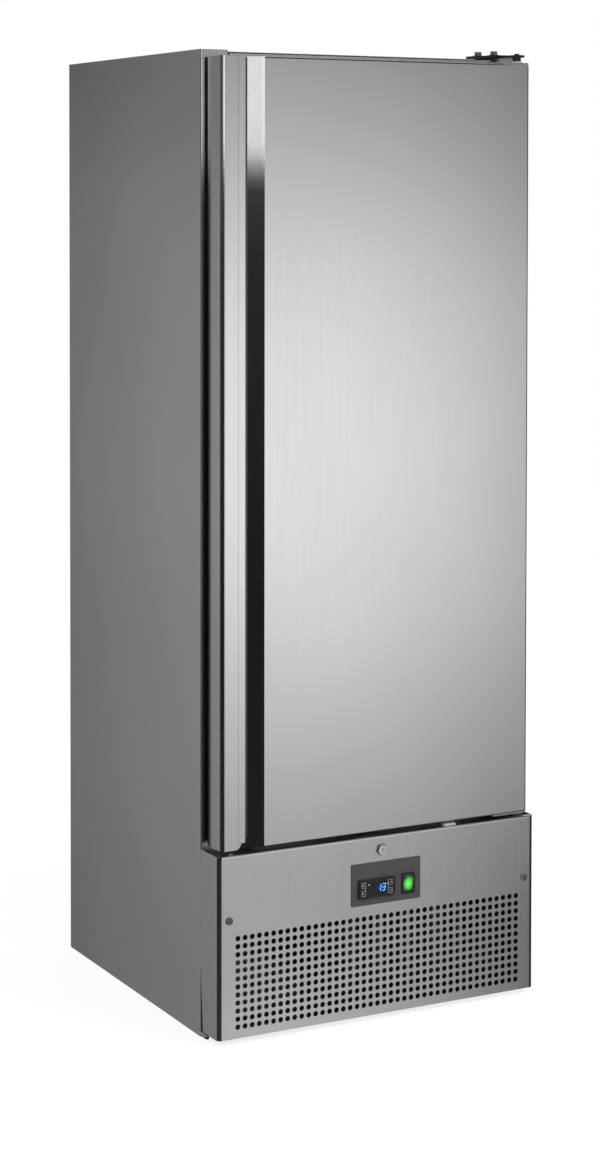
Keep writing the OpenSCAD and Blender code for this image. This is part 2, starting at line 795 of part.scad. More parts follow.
module condenser_fins() {
  color("#c7cacc") fins(condenser_at, condenser_columns, condenser_rows, condenser_w, fin_border);
}

shroud_t = 1.5;
shroud_d = 52;

// A box-shaped duct from the fin block to a round fan ring, standing on the base pan
module condenser_shroud() {
  x0 = condenser_at.x - 4;
  x1 = condenser_at.x + condenser_w + 6;
  z1 = condenser_top + 4;
  color("#a3a7aa") {
    difference() {
      span([x0, condenser_back + fit, pan_t], [x1, condenser_back + fit + shroud_d, z1]);
      span([x0 + shroud_t, condenser_back, pan_t + shroud_t], [x1 - shroud_t, condenser_back + fit + shroud_d - shroud_t, z1 - shroud_t]);
      rod_y([fan_x, condenser_back, fan_z], shroud_d + 10, fan_d + 10);
    }
    for (a = [0 : 120 : 240]) translate([fan_x, condenser_back + fit + shroud_d - shroud_t, fan_z]) rotate([0, a + 30, 0])
      span([motor_d / 2 + 0.5, 0, -6], [fan_d / 2 + 8, shroud_t, 6]);
    difference() {
      rod_y([fan_x, condenser_back + fit + shroud_d - shroud_t, fan_z], shroud_t, motor_d + 10);
      rod_y([fan_x, condenser_back, fan_z], shroud_d + 10, motor_d + 2 * fit);
    }
  }
}

motor_d = 74;
shaft_d = 8;
shaft_play = 0.06;

module condenser_fan_motor() {
  color("#2c2e31") {
    rod_y([fan_x, condenser_back + shroud_d - 2, fan_z], 46, motor_d);
    rod_y([fan_x, fan_y - 14, fan_z], condenser_back + shroud_d - 1 - fan_y + 14, shaft_d);
  }
}

// Cambered blades round a hub, blowing along Y
module fan_wheel(at, d, hub_d, hub_l, blades, chord, pitch) {
  difference() {
    union() {
      rod_y(at - [0, hub_l / 2, 0], hub_l, hub_d);
      for (i = [0 : blades - 1]) translate(at) rotate([0, i * 360 / blades, 0])
        blade(hub_d / 2 - 3, d / 2, chord, pitch);
    }
    rod_y(at - [0, hub_l, 0], 2 * hub_l, shaft_d + 2 * shaft_play);
  }
}

module blade(r0, r1, chord, pitch) {
  camber_r = chord * 1.1;
  t = 2;
  half_angle = asin(chord / 2 / camber_r);
  intersection() {
    translate([r0, 0, 0]) rotate([pitch, 0, 0]) rotate([90, 0, 90]) linear_extrude(r1 - r0)
      translate([-camber_r * cos(half_angle / 2), 0]) intersection() {
        difference() {
          circle(camber_r, $fn = 64);
          circle(camber_r - t, $fn = 64);
        }
        polygon([[0, 0], [camber_r * 1.4, -tan(half_angle) * camber_r * 1.4], [camber_r * 1.4, tan(half_angle) * camber_r * 1.4]]);
      }
    rod_y([0, -chord, 0], 2 * chord, 2 * r1 - 1);
  }
}

module condenser_fan() {
  color("#3a3d40") fan_wheel([fan_x, fan_y, fan_z], fan_d, 46, 22, 5, 70, 28);
}

suction_d = 10;
liquid_d = 6;
suction_x = compressor_x;
liquid_x = compressor_x + 30;
drain_x = half_w - 140;
line_foot = shell_z + 200;
line_top = liner_roof - 60;
drain_top = liner_roof - housing_h + 6;
drain_route = [[drain_x, wall_mid_y, 96], [drain_x, wall_mid_y, drain_top], [drain_x, liner_back - 24, drain_top]];
suction_route = [[suction_x, wall_mid_y, line_foot], [suction_x, wall_mid_y, line_top], [suction_x, liner_back - 20, line_top]];
liquid_route = [[liquid_x, wall_mid_y, line_foot], [liquid_x, wall_mid_y, line_top], [liquid_x, liner_back - 20, line_top]];
drier_d = 26;
drier_l = 90;

// Suction, discharge and liquid lines with the brazed filter drier
module refrigerant_pipes() {
  top = shell_z + compressor_h;
  first = condenser_at + [-coil_over - 22, 0, 0];
  last = condenser_at + [-coil_over - 22, tube_pitch, 0];
  drier = [compressor_x + 60, condenser_back + 60, 180];
  color(copper) {
    pipe([[suction_x, compressor_y + 30, top], [suction_x, compressor_y + 30, top + 40],
          [suction_x, wall_mid_y, top + 40], [suction_x, wall_mid_y, line_top], [suction_x, liner_back - 20, line_top]], suction_d);
    pipe([[compressor_x, compressor_y - 30, top], [compressor_x, compressor_y - 30, top + 24],
          [first.x, compressor_y - 30, top + 24], [first.x, first.y, top + 24], first, condenser_at - [coil_over + fit, 0, 0]], liquid_d);
    pipe([condenser_at + [-coil_over - fit, tube_pitch, 0], last, [last.x, drier.y, last.z], [drier.x, drier.y, last.z],
          drier, drier + [0, 0, drier_l + 40], [drier.x, wall_mid_y, drier.z + drier_l + 40],
          [liquid_x, wall_mid_y, drier.z + drier_l + 40], [liquid_x, wall_mid_y, line_top], [liquid_x, liner_back - 20, line_top]], liquid_d);
    rod_z(drier, drier_l, drier_d);
  }
}

tray_w = 220;
tray_d = 180;
tray_h = 50;
tray_side_gap = 60;
tray_back_gap = 48;
tray_at = [half_w - tray_w - tray_side_gap, back_y - tray_d - tray_back_gap, pan_t];

module evaporation_tray() {
  color("#35383b") difference() {
    upright(tray_at.z, tray_at.z + tray_h) translate([tray_at.x + tray_w / 2, tray_at.y + tray_d / 2]) round_rect(tray_w, tray_d, 16);
    upright(tray_at.z + 2, tray_at.z + tray_h + 1) translate([tray_at.x + tray_w / 2, tray_at.y + tray_d / 2])
      round_rect(tray_w - 4, tray_d - 4, 14);
  }
}

module drain_tube() {
  color("#d9dcdd") difference() {
    pipe(drain_route, drain_d);
    pipe([drain_route[0] - [0, 0, 1], drain_route[1], drain_route[2] - [0, 1, 0]], drain_d - 3);
  }
}

box_size = [70, 160, 150];
box_at = [sheet_t - half_w, front_y + 30, 120];
box_border = 15;
box_recess = 2;

// Junction box on the left side of the bay, behind the controls
module electrical_box() {
  color("#6d7174") difference() {
    span(box_at, box_at + box_size);
    span(box_at + [box_size.x - box_recess, box_border, box_border],
         box_at + box_size + [1, -box_border, -box_border]);
  }
}

inlet_x = half_w - 90;
inlet_z = 70;
inlet_hole_d = 20;

// Cord gland in the rear guard
module mains_inlet() {
  color(near_black) difference() {
    union() {
      rod_y([inlet_x, back_y, inlet_z], spacer_t - 1, inlet_hole_d + 8);
      rod_y([inlet_x, back_y - guard_t - 12, inlet_z], guard_t + 13, inlet_hole_d - 2 * fit);
      translate([inlet_x, back_y - guard_t, inlet_z]) rotate([90, 0, 0]) cylinder(d = inlet_hole_d + 8, h = 5, $fn = 6);
    }
    rod_y([inlet_x, back_y - 40, inlet_z], 60, gland_bore);
  }
}

guard_t = 1;
guard_slot = [7, 60];

// Slotted sheet that closes the back of the machine bay
module rear_guard() {
  slots = floor((body_w - 2 * back_return - 180) / 18);
  color("#8d9194") facing(back_y - guard_t, back_y) difference() {
    span2([back_return - half_w, pan_t], [half_w - back_return, bay_h]);
    for (i = [0 : slots - 1], j = [0 : 2]) translate([(i - (slots - 1) / 2) * 18, 110 + j * 80])
      square(guard_slot, center = true);
    translate([inlet_x, inlet_z]) circle(d = inlet_hole_d);
  }
}

spacer_d = 30;
spacer_stem_d = 10;
spacer_stem_l = 8;
spacer_places = [for (x = [-1, 1], z = [bay_h + 60, top_z - 80]) [x * (half_w - 80), z]];

module wall_spacers() {
  color("#2a2a2c") for (p = spacer_places) {
    rod_y([p.x, back_y, p.y], spacer_t, spacer_d);
    rod_y([p.x, back_y - spacer_stem_l, p.y], spacer_stem_l + 1, spacer_stem_d - 0.1);
  }
}

// Cold space

evaporator_columns = 5;
evaporator_rows = 3;
evaporator_w = 2 * (liner_x - liner_r) - 172;
evaporator_at = [-evaporator_w / 2, liner_back - 42 - (evaporator_columns - 1) * tube_pitch,
                 liner_roof - fit - fin_border - (evaporator_rows - 1) * tube_pitch];

module evaporator_coil() {
  color(copper) coil(evaporator_at - [coil_over, 0, 0], evaporator_columns, evaporator_rows, evaporator_w + 2 * coil_over);
}

module evaporator_fins() {
  color("#c7cacc") fins(evaporator_at, evaporator_columns, evaporator_rows, evaporator_w, fin_border);
}

housing_x = liner_x - liner_r;
housing_y = liner_back - housing_d;
housing_z = liner_roof - housing_h;
cold_fan_y = housing_y + 24;
cold_fan_z = liner_roof - housing_h / 2;

// Housing under the liner's roof with the fan opening in its front and the return slots in its floor
module evaporator_housing() {
  color("#cfd3d5") difference() {
    span([-housing_x, housing_y, housing_z], [housing_x, liner_back, liner_roof]);
    span([-housing_x + housing_t, housing_y + housing_t, housing_z + housing_t],
         [housing_x - housing_t, liner_back + 1, liner_roof + 1]);
    rod_y([0, housing_y - 1, cold_fan_z], housing_t + 2, cold_fan_d + 8);
    for (i = [-5 : 5]) span([i * 40 - 12, liner_back - 90, housing_z - 1], [i * 40 + 12, liner_back - 60, housing_z + housing_t + 1]);
    rod_y([drain_x, housing_y + 20, drain_top], housing_d, drain_d + 2 * fit);
  }
}

cold_motor_d = 50;

// Motor on a three-armed bracket behind the housing's front
module evaporator_fan_motor() {
  y_motor = cold_fan_y + 16;
  color("#2c2e31") {
    rod_y([0, y_motor, cold_fan_z], 40, cold_motor_d);
    rod_y([0, cold_fan_y - 12, cold_fan_z], y_motor - cold_fan_y + 13, shaft_d);
    for (a = [0 : 90 : 270]) translate([0, 0, cold_fan_z]) rotate([0, a + 45, 0]) {
      span([cold_motor_d / 2 - 3, y_motor, -4], [cold_fan_d / 2 + 12, y_motor + 3, 4]);
      span([cold_fan_d / 2 + 8, housing_y + housing_t, -4], [cold_fan_d / 2 + 12, y_motor + 1, 4]);
    }
  }
}

module evaporator_fan() {
  color("#3a3d40") fan_wheel([0, cold_fan_y, cold_fan_z], cold_fan_d, 34, 18, 5, 40, 28);
}

upright_t = 1.5;
upright_y = [liner_front + 50, liner_back - 60];
upright_z0 = liner_floor + 30;
upright_z1 = housing_z - 12;
slot_count = floor((upright_z1 - upright_z0 - 20) / slot_pitch);

// Slotted strips on the liner's sides
module shelf_uprights() {
  color(bright_steel) for (s = [0, 1], y = upright_y) mirror([s, 0, 0])
    sideways(liner_x - upright_t, liner_x) difference() {
      span2([y - upright_w / 2, upright_z0], [y + upright_w / 2, upright_z1]);
      for (i = [0 : slot_count - 1]) translate([y, upright_z0 + 20 + i * slot_pitch]) square([7, 18], center = true);
    }
}

shelf_count = 4;
shelf_x = liner_x - shelf_gap;
shelf_y0 = liner_front + 24;
shelf_y1 = liner_back - 14;
runner_t = 1.5;
runner_foot = 22;
runner_h = 16;

function shelf_z(i) = liner_floor + i * shelf_pitch;

// Angle runners hooked on the strips, one pair below each shelf
module shelf_runners() {
  color(bright_steel) for (i = [1 : shelf_count], s = [0, 1]) mirror([s, 0, 0]) {
    x1 = liner_x - upright_t;
    z1 = shelf_z(i) - frame_wire / 2;
    span([x1 - runner_foot, shelf_y0 + 4, z1 - runner_t], [x1, shelf_y1 - 20, z1]);
    span([x1 - runner_t, shelf_y0 + 4, z1 - runner_h], [x1, shelf_y1 - 20, z1]);
  }
}

// Wire shelf: a frame of thick wire with thin wires welded on top
module shelf(i) {
  z = shelf_z(i);
  wires = floor((2 * shelf_x - wire_pitch) / wire_pitch);
  wire_z = z + (frame_wire + cross_wire) / 2 - 0.8;
  color("#d4d8da") {
    for (y = [shelf_y0, (shelf_y0 + shelf_y1) / 2, shelf_y1]) rod_x([-shelf_x, y, z], 2 * shelf_x, frame_wire);
    for (s = [-1, 1]) rod_y([s * (shelf_x - 1), shelf_y0 - 1, z], shelf_y1 - shelf_y0 + 2, frame_wire - 0.6);
    for (k = [0 : wires]) rod_y([(k - wires / 2) * wire_pitch, shelf_y0 - 2, wire_z], shelf_y1 - shelf_y0 + 4, cross_wire, $fn = 16);
  }
}

module shelf_1() { shelf(1); }
module shelf_2() { shelf(2); }
module shelf_3() { shelf(3); }
module shelf_4() { shelf(4); }

// Hinges

arm_r = 15;
arm_x0 = pin_x - arm_r;
arm_x1 = pin_x + arm_r;
bolt_x = [pin_x - 49, pin_x - 13];
bolt_y = front_y + 20;

module arm_plan(y_to) {
  span2([arm_x0, pin_y], [arm_x1, y_to]);
  translate([pin_x, pin_y]) circle(arm_r);
}

module top_hinge_bracket() {
  x1 = arm_x1 + 4;
  color(near_black) {
    difference() {
      union() {
        upright(body_h, body_h + bracket_t) union() {
          span2([x1 - bracket_w, front_y - 2], [x1, front_y + bracket_d]);
          arm_plan(front_y);
        }
        span([x1 - bracket_w, front_y + sheet_t + fit, top_z], [x1, front_y + bracket_d, body_h]);
        span([bolt_x[1] - 14, front_y + 1, body_h + bracket_t], [x1, front_y + bracket_d - 4, body_h + bracket_t + 2.5]);
      }
      for (x = bolt_x) rod_z([x, bolt_y, top_z - 1], 20, 9);
    }
    rod_z([pin_x, pin_y, door_z1 - pin_grip], body_h + bracket_t + 3 - door_z1 + pin_grip, pin_d);
    rod_z([pin_x, pin_y, top_bush_z + fit], body_h - top_bush_z, pin_d + 6);
  }
}

module top_hinge_bolts() {
  head_h = 7;
  color("#3b3d40") for (i = [0, 1]) {
    z = body_h + bracket_t + (i == 1 ? 2.5 : 0);
    rod_z([bolt_x[i], bolt_y, z], 1.6, bolt_head_d + 4);
    difference() {
      rod_z([bolt_x[i], bolt_y, z + 1], head_h, bolt_head_d);
      translate([bolt_x[i], bolt_y, z + 4]) cylinder(d = 9, h = head_h, $fn = 6);
    }
    rod_z([bolt_x[i], bolt_y, top_z], z + 1 - top_z, 8);
  }
}

module bottom_hinge_bracket() {
  x1 = arm_x1 + 8;
  z1 = cover_top;
  color(near_black) {
    upright(z1 - bracket_t, z1) union() {
      span2([arm_x0, pin_y], [x1, front_y]);
      translate([pin_x, pin_y]) circle(arm_r);
    }
    span([arm_x0 - 24, front_y - bracket_t, z1 - 44], [x1, front_y, z1 - bracket_t]);
    rod_z([pin_x, pin_y, z1 - bracket_t], door_z0 + pin_grip - z1 + bracket_t, pin_d);
  }
}

// Door

// Plan of the whole door drawn in by e, with its rounded upright front edges
module door_plan(e) {
  y_mid = door_y0 + door_r;
  span2([e - half_door, y_mid], [half_door - e, door_y1 - e]);
  span2([door_r - half_door, door_y0 + e], [half_door - door_r, y_mid]);
  translate([door_r - half_door, y_mid]) circle(door_r - e);
  span2([half_door - door_r - 1, door_y0 + door_edge_r], [half_door - e, y_mid]);
  span2([half_door - door_r - 1, door_y0 + e], [half_door - door_edge_r, door_y0 + door_edge_r]);
  translate([half_door - door_edge_r, door_y0 + door_edge_r]) circle(door_edge_r - e);
}

// Front view of the door drawn in by e, with rounded corners
module door_front(e) {
  translate([0, (door_z0 + door_z1) / 2]) round_rect(door_w - 2 * e, door_z1 - door_z0 - 2 * e, door_edge_r + 1 - e);
}

// Side view of the door drawn in by e, with folded top and bottom front edges
module door_side(e) sideways(-half_door, half_door) {
  y = door_y0 + fold_r;
  span2([y, door_z0 + e], [door_y1, door_z1 - e]);
  span2([door_y0 + e, door_z0 + fold_r], [y, door_z1 - fold_r]);
  for (z = [door_z0 + fold_r, door_z1 - fold_r]) translate([y, z]) circle(fold_r - e);
}

strip_back_y = door_y0 + hem_t;
hem_tab = 2.6 * hem_t;
wall_x = strip_x - undercut;
slope_run = (panel_x - wall_x - recess_r - recess_r * sin(recess_slope)) / cos(recess_slope);
bend_x = wall_x + recess_r;
bend_y = door_y0 + slope_run * sin(recess_slope) - recess_r * cos(recess_slope);

// Finger space of the handle, let out by e: a sloping floor, a bend, and a hollow behind the strip
module grip_plan(e) {
  r = recess_r + e;
  far = 6;
  translate([bend_x, bend_y]) circle(r);
  polygon([
    [bend_x, bend_y],
    [bend_x + r * sin(recess_slope), bend_y + r * cos(recess_slope)],
    [panel_x + far * cos(recess_slope) + e * sin(recess_slope), door_y0 - far * sin(recess_slope) + e * cos(recess_slope)],
    [strip_x, door_y0 - far * sin(recess_slope)],
    [strip_x, strip_back_y - e],
    [wall_x - e, strip_back_y - e],
    [wall_x - e, bend_y]
  ]);
}

module door_skin() {
  color(steel) difference() {
    intersection() {
      upright(door_z0, door_z1) intersection() {
        door_plan(0);
        span2([panel_x, door_y0], [half_door, door_y1]);
      }
      facing(door_y0, door_y1) door_front(0);
      door_side(0);
    }
    intersection() {
      upright(door_z0 + sheet_t, door_z1 - sheet_t) intersection() {
        translate([0, sheet_t]) span2([panel_x - 1, door_y0], [half_door - door_edge_r, door_y1]);
        door_plan(sheet_t);
      }
      facing(door_y0, door_y1 + 1) door_front(sheet_t);
      door_side(sheet_t);
    }
    upright(door_z0 + sheet_t, door_z1 - sheet_t) intersection() {
      door_plan(sheet_t);
      span2([half_door - door_edge_r - 1, door_y0], [half_door, door_y1 + 1]);
    }
    span([panel_x - 1, door_y1 - sheet_t - 0.001, door_z0 + sheet_t], [half_door - sheet_t, door_y1 + 1, door_z1 - sheet_t]);
    door_end_cuts(bush_d + 2 * fit);
  }
}

// Bores for the bushes and the cam's pocket in the door's foot
module door_end_cuts(bore) {
  depth = pin_grip + 4;
  rod_z([pin_x, pin_y, door_z0 - 1], depth + 1, bore);
  rod_z([pin_x, pin_y, door_z1 - depth], depth + 1, bore);
  cam_pocket(cam_room, cam_reach - lock_drop - door_foot_gap + 4);
}

module cam_pocket(room, depth) {
  span([-cam_swing_x, cam_y0 - room, door_z0 - 3], [cam_w / 2 + room, cam_y1 + room, door_z0 + depth]);
}

// Outer strip of the handle: folded sheet with a thick rolled edge
module handle_strip() {
  color(steel) difference() {
    upright(door_z0, door_z1) {
      translate([door_r - half_door, door_y0 + door_r]) rotate(180) quarter_ring(door_r, sheet_t);
      span2([-half_door, door_y0 + door_r], [sheet_t - half_door, door_y1]);
      span2([door_r - half_door, door_y0], [strip_x - hem_t / 2, door_y0 + sheet_t]);
      translate([strip_x - hem_t / 2, door_y0 + hem_t / 2]) round_rect(hem_t, hem_t, sheet_t);
      span2([strip_x - hem_tab, strip_back_y - sheet_t], [strip_x - hem_t / 2, strip_back_y]);
    }
    facing(door_y0 - 1, strip_back_y + 1) difference() {
      span2([strip_x - relief_h - 9, door_z0 - 1], [strip_x + 1, door_z0 + relief_h]);
      translate([strip_x - relief_h - 9, door_z0 + relief_h]) circle(relief_h);
    }
  }
}

// Lining of the recess: a sloping sheet, its bend, the end wall and the sheet behind the strip
module handle_trough() {
  r = recess_r;
  t = trough_t;
  lap = 0.5;
  along = [sin(recess_slope), cos(recess_slope)];
  down_slope = [cos(recess_slope), -sin(recess_slope)];
  bend = [bend_x, bend_y];
  color("#c4c8ca") upright(door_z0, door_z1) {
    // Both straight sheets reach a little way into the bend, inside its thickness
    polygon([
      bend + (r + hair) * along - lap * down_slope, bend + r * along, [panel_x, door_y0],
      [panel_x, door_y0 + t / cos(recess_slope)], bend + (r + t) * along, bend + (r + t - hair) * along - lap * down_slope]);
    translate(bend) intersection() {
      difference() {
        circle(r + t);
        circle(r);
      }
      polygon([[0, 0], 3 * r * along, [0, 4 * r], [-3 * r, 4 * r], [-3 * r, 0]]);
    }
    polygon([
      [wall_x - t, strip_back_y - t], [wall_x, strip_back_y - t], [wall_x, bend_y], [wall_x - hair, bend_y + lap],
      [wall_x - t + hair, bend_y + lap], [wall_x - t, bend_y]]);
    span2([wall_x - t, strip_back_y - t], [strip_x - hem_tab, strip_back_y]);
  }
}

// Plan of the foam in the door, which leaves out the handle's sheets and its finger space
module door_fill_plan() {
  difference() {
    intersection() {
      door_plan(sheet_t);
      span2([-half_door, door_y0], [half_door, door_y1 - panel_t]);
    }
    grip_plan(trough_t + hair);
    span2([strip_x - hem_t, door_y0], [strip_x + 1, strip_back_y]);
    translate([wall_x, door_y0 + sheet_t]) square([strip_x - wall_x, hem_t - sheet_t]);
  }
}

// Caps in the hollow behind the strip, and plates that close the door's ends beside the handle
module handle_caps() {
  color("#a9adb0") {
    for (z = [door_z0 + cap_inset, door_z1 - cap_inset - cap_t]) upright(z, z + cap_t) intersection() {
      grip_plan(-hair);
      span2([wall_x, strip_back_y], [strip_x - hem_t, door_y1]);
    }
    for (z = [door_z0, door_z1 - sheet_t]) upright(z, z + sheet_t) intersection() {
      door_fill_plan();
      span2([-half_door, door_y0], [panel_x - hair, door_y1]);
    }
  }
}

plug_x = liner_x - 8;
plug_z0 = liner_floor + 8;
plug_z1 = liner_roof - 8;
panel_t = 2;

module door_foam() {
  color("#e8d9a8") difference() {
    union() {
      intersection() {
        upright(door_z0 + sheet_t, door_z1 - sheet_t) door_fill_plan();
        facing(door_y0, door_y1) door_front(sheet_t);
        door_side(sheet_t);
      }
      span([panel_t - plug_x, door_y1 - 2 * panel_t, plug_z0 + panel_t], [plug_x - panel_t, door_y1 + plug_rise - panel_t, plug_z1 - panel_t]);
    }
    door_end_cuts(bush_d + 2 * fit);
  }
}

module door_inner_panel() {
  color("#d9dcde") difference() {
    union() {
      span([sheet_t - half_door, door_y1 - panel_t, door_z0 + sheet_t], [half_door - sheet_t, door_y1, door_z1 - sheet_t]);
      facing(door_y1 - 0.5, door_y1 + plug_rise) translate([0, (plug_z0 + plug_z1) / 2]) round_rect(2 * plug_x, plug_z1 - plug_z0, 16);
    }
    span([panel_t - plug_x, door_y1 - panel_t - 1, plug_z0 + panel_t], [plug_x - panel_t, door_y1 + plug_rise - panel_t, plug_z1 - panel_t]);
  }
}

gasket_x = half_w - gasket_inset;
gasket_z0 = liner_floor - frame_w - (gasket_x - frame_x);
gasket_z1 = liner_roof + frame_w + (gasket_x - frame_x);

module gasket_ring(inset, width) {
  difference() {
    span2([inset - gasket_x, gasket_z0 + inset], [gasket_x - inset, gasket_z1 - inset]);
    span2([inset + width - gasket_x, gasket_z0 + inset + width], [gasket_x - inset - width, gasket_z1 - inset - width]);
  }
}

// Magnetic seal: a flat foot, a narrow bellows and a wide head
module door_gasket() {
  depth = door_gap - fit;
  color("#3a3c3e") {
    facing(door_y1, door_y1 + 2) gasket_ring(0, gasket_w);
    facing(door_y1 + 1, door_y1 + depth - 1) gasket_ring(5, gasket_w - 10);
    facing(door_y1 + depth - 2.5, door_y1 + depth) gasket_ring(1, gasket_w - 2);
  }
}

top_bush_z = door_z1 + door_plate_t + 3;
low_bush_z = cover_top + fit;

module door_hinge_plates() {
  x1 = half_door - 1;
  x0 = x1 - door_plate_w;
  y0 = door_y0 + 2;
  y1 = door_y1 - 2;
  color("#c3c6c8") difference() {
    union() {
      span([x0, y0, door_z1], [x1, y1, door_z1 + door_plate_t]);
      span([x0, y0, door_z0 - door_plate_t], [x1, y1, door_z0]);
    }
    rod_z([pin_x, pin_y, door_z0 - 10], door_z1 - door_z0 + 20, bush_d + 2 * fit);
  }
}

module door_bushes() {
  color("#e9eaeb") difference() {
    union() {
      rod_z([pin_x, pin_y, door_z1 - pin_grip - 2], pin_grip + 2 + door_plate_t + 1, bush_d);
      rod_z([pin_x, pin_y, door_z1 + door_plate_t], top_bush_z - door_z1 - door_plate_t, bush_flange_d);
      rod_z([pin_x, pin_y, door_z0 - door_plate_t - 1], pin_grip + door_plate_t + 3, bush_d);
      rod_z([pin_x, pin_y, low_bush_z], door_z0 - door_plate_t - low_bush_z, bush_flange_d);
    }
    rod_z([pin_x, pin_y, cover_top - 10], door_z1 - cover_top + 30, pin_d + 2 * pin_play);
  }
}

module strike_plate() {
  t = 1.5;
  color(bright_steel) difference() {
    span([-cam_swing_x - 10, cam_y0 - 9, door_z0 - t], [cam_w / 2 + 14, cam_y1 + 9, door_z0]);
    cam_pocket(cam_room - 1, 3);
  }
}

left_side_panel();
right_side_panel();
top_panel();
back_panel();
bay_ceiling();
insulation_foam();
inner_liner();
breaker_frame();
base_pan();
front_cover();
cover_screws();
cover_brackets();
control_plate();
thermostat_case();
rocker_frame();
lock_barrel();
compressor();
compressor_grommets();
condenser_coil();
condenser_fins();
condenser_shroud();
condenser_fan_motor();
refrigerant_pipes();
evaporation_tray();
drain_tube();
electrical_box();
mains_inlet();
rear_guard();
wall_spacers();
evaporator_coil();
evaporator_fins();
evaporator_housing();
evaporator_fan_motor();
shelf_uprights();
shelf_runners();
shelf_1();
shelf_2();
shelf_3();
shelf_4();
top_hinge_bracket();
top_hinge_bolts();
bottom_hinge_bracket();
door_skin();
handle_strip();
handle_trough();
handle_caps();
door_foam();
door_inner_panel();
door_gasket();
door_hinge_plates();
door_bushes();
strike_plate();
lock_plug();
rocker();
key_set();
key_light();
key_up();
key_down();
condenser_fan();
evaporator_fan();
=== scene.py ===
"""Looks of an upright freezer in satin stainless sheet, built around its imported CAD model."""

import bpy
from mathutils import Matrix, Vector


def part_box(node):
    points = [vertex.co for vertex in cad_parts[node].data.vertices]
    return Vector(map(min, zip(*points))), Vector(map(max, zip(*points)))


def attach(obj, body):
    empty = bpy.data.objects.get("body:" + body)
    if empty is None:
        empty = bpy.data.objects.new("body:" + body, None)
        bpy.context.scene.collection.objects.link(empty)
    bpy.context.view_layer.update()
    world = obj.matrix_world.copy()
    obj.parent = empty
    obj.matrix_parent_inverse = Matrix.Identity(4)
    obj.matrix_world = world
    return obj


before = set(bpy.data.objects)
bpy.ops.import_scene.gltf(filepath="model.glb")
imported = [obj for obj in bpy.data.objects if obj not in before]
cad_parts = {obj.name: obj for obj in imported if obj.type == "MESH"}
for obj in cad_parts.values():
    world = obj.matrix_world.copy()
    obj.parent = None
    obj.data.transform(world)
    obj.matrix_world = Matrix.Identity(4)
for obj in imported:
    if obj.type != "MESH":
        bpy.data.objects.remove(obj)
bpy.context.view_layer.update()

import math

import bmesh
import bpy
from mathutils import Matrix, Vector

MM = 0.001


# Camera, from a fit of the photograph's edges to the cabinet's own corners
PHOTO_W, PHOTO_H = 600, 1152
FOCAL_PX = 2485.5
AXIS_PX = (314.4, 280.0)
EYE = Vector((-2.2855, -4.3628, 1.5437))
YAW, PITCH, ROLL = (math.radians(angle) for angle in (28.069, 1.905, 0.080))
SENSOR_MM = 36.0


def make_camera():
    data = bpy.data.cameras.new("camera")
    data.sensor_width = SENSOR_MM
    data.lens = FOCAL_PX / PHOTO_H * SENSOR_MM
    data.shift_x = (PHOTO_W / 2 - AXIS_PX[0]) / PHOTO_H
    data.shift_y = (AXIS_PX[1] - PHOTO_H / 2) / PHOTO_H
    data.clip_start, data.clip_end = 0.1, 60
    ahead = Vector((math.sin(YAW) * math.cos(PITCH), math.cos(YAW) * math.cos(PITCH), -math.sin(PITCH)))
    level = Vector((math.cos(YAW), -math.sin(YAW), 0))
    above = level.cross(ahead)
    right = level * math.cos(ROLL) + above * math.sin(ROLL)
    up = above * math.cos(ROLL) - level * math.sin(ROLL)
    camera = bpy.data.objects.new("camera", data)
    bpy.context.scene.collection.objects.link(camera)
    camera.matrix_world = Matrix.Translation(EYE) @ Matrix((right, up, -ahead)).transposed().to_4x4()
    bpy.context.scene.camera = camera


make_camera()
bpy.context.scene.view_settings.view_transform = "Standard"


# Nodes and colours

def colour(code):
    """An sRGB hex value as linear red, green, blue and alpha."""
    parts = [int(code[i:i + 2], 16) / 255 for i in (1, 3, 5)]
    return [p / 12.92 if p <= 0.04045 else ((p + 0.055) / 1.055) ** 2.4 for p in parts] + [1.0]


def node(tree, kind, inputs=None, stops=None, **settings):
    """Adds a node. inputs gives a socket a value or another node's socket, and stops fill a colour ramp."""
    made = tree.nodes.new(kind)
    for name, value in settings.items():
        setattr(made, name, value)
    for key, value in (inputs or {}).items():
        if isinstance(value, bpy.types.NodeSocket):
            tree.links.new(value, made.inputs[key])
        else:
            made.inputs[key].default_value = value
    if stops:
        ramp = made.color_ramp
        while len(ramp.elements) < len(stops):
            ramp.elements.new(1.0)
        for element, (position, value) in zip(ramp.elements, stops):
            element.position = position
            element.color = colour(value) if isinstance(value, str) else [value, value, value, 1.0]
    return made


def new_finish(name):
    """A material with its node tree, its shader and the Object coordinates."""
    material = bpy.data.materials.new(name)
    material.use_nodes = True
    tree = material.node_tree
    return material, tree, tree.nodes["Principled BSDF"], node(tree, "ShaderNodeTexCoord").outputs["Object"]


def pattern(tree, place, size_mm, detail=2.0, kind="ShaderNodeTexNoise"):
    """A noise whose features measure size_mm along X, Y and Z."""
    scale = [1 / (size * MM) for size in size_mm]
    spread = node(tree, "ShaderNodeMapping", {"Vector": place, "Scale": scale})
    settings = {"Vector": spread.outputs[0], "Scale": 1.0}
    if kind == "ShaderNodeTexNoise":
        settings["Detail"] = detail
    return node(tree, kind, settings)


# Nearly all values of a noise lie between these two
LOW, HIGH = 0.3, 0.7


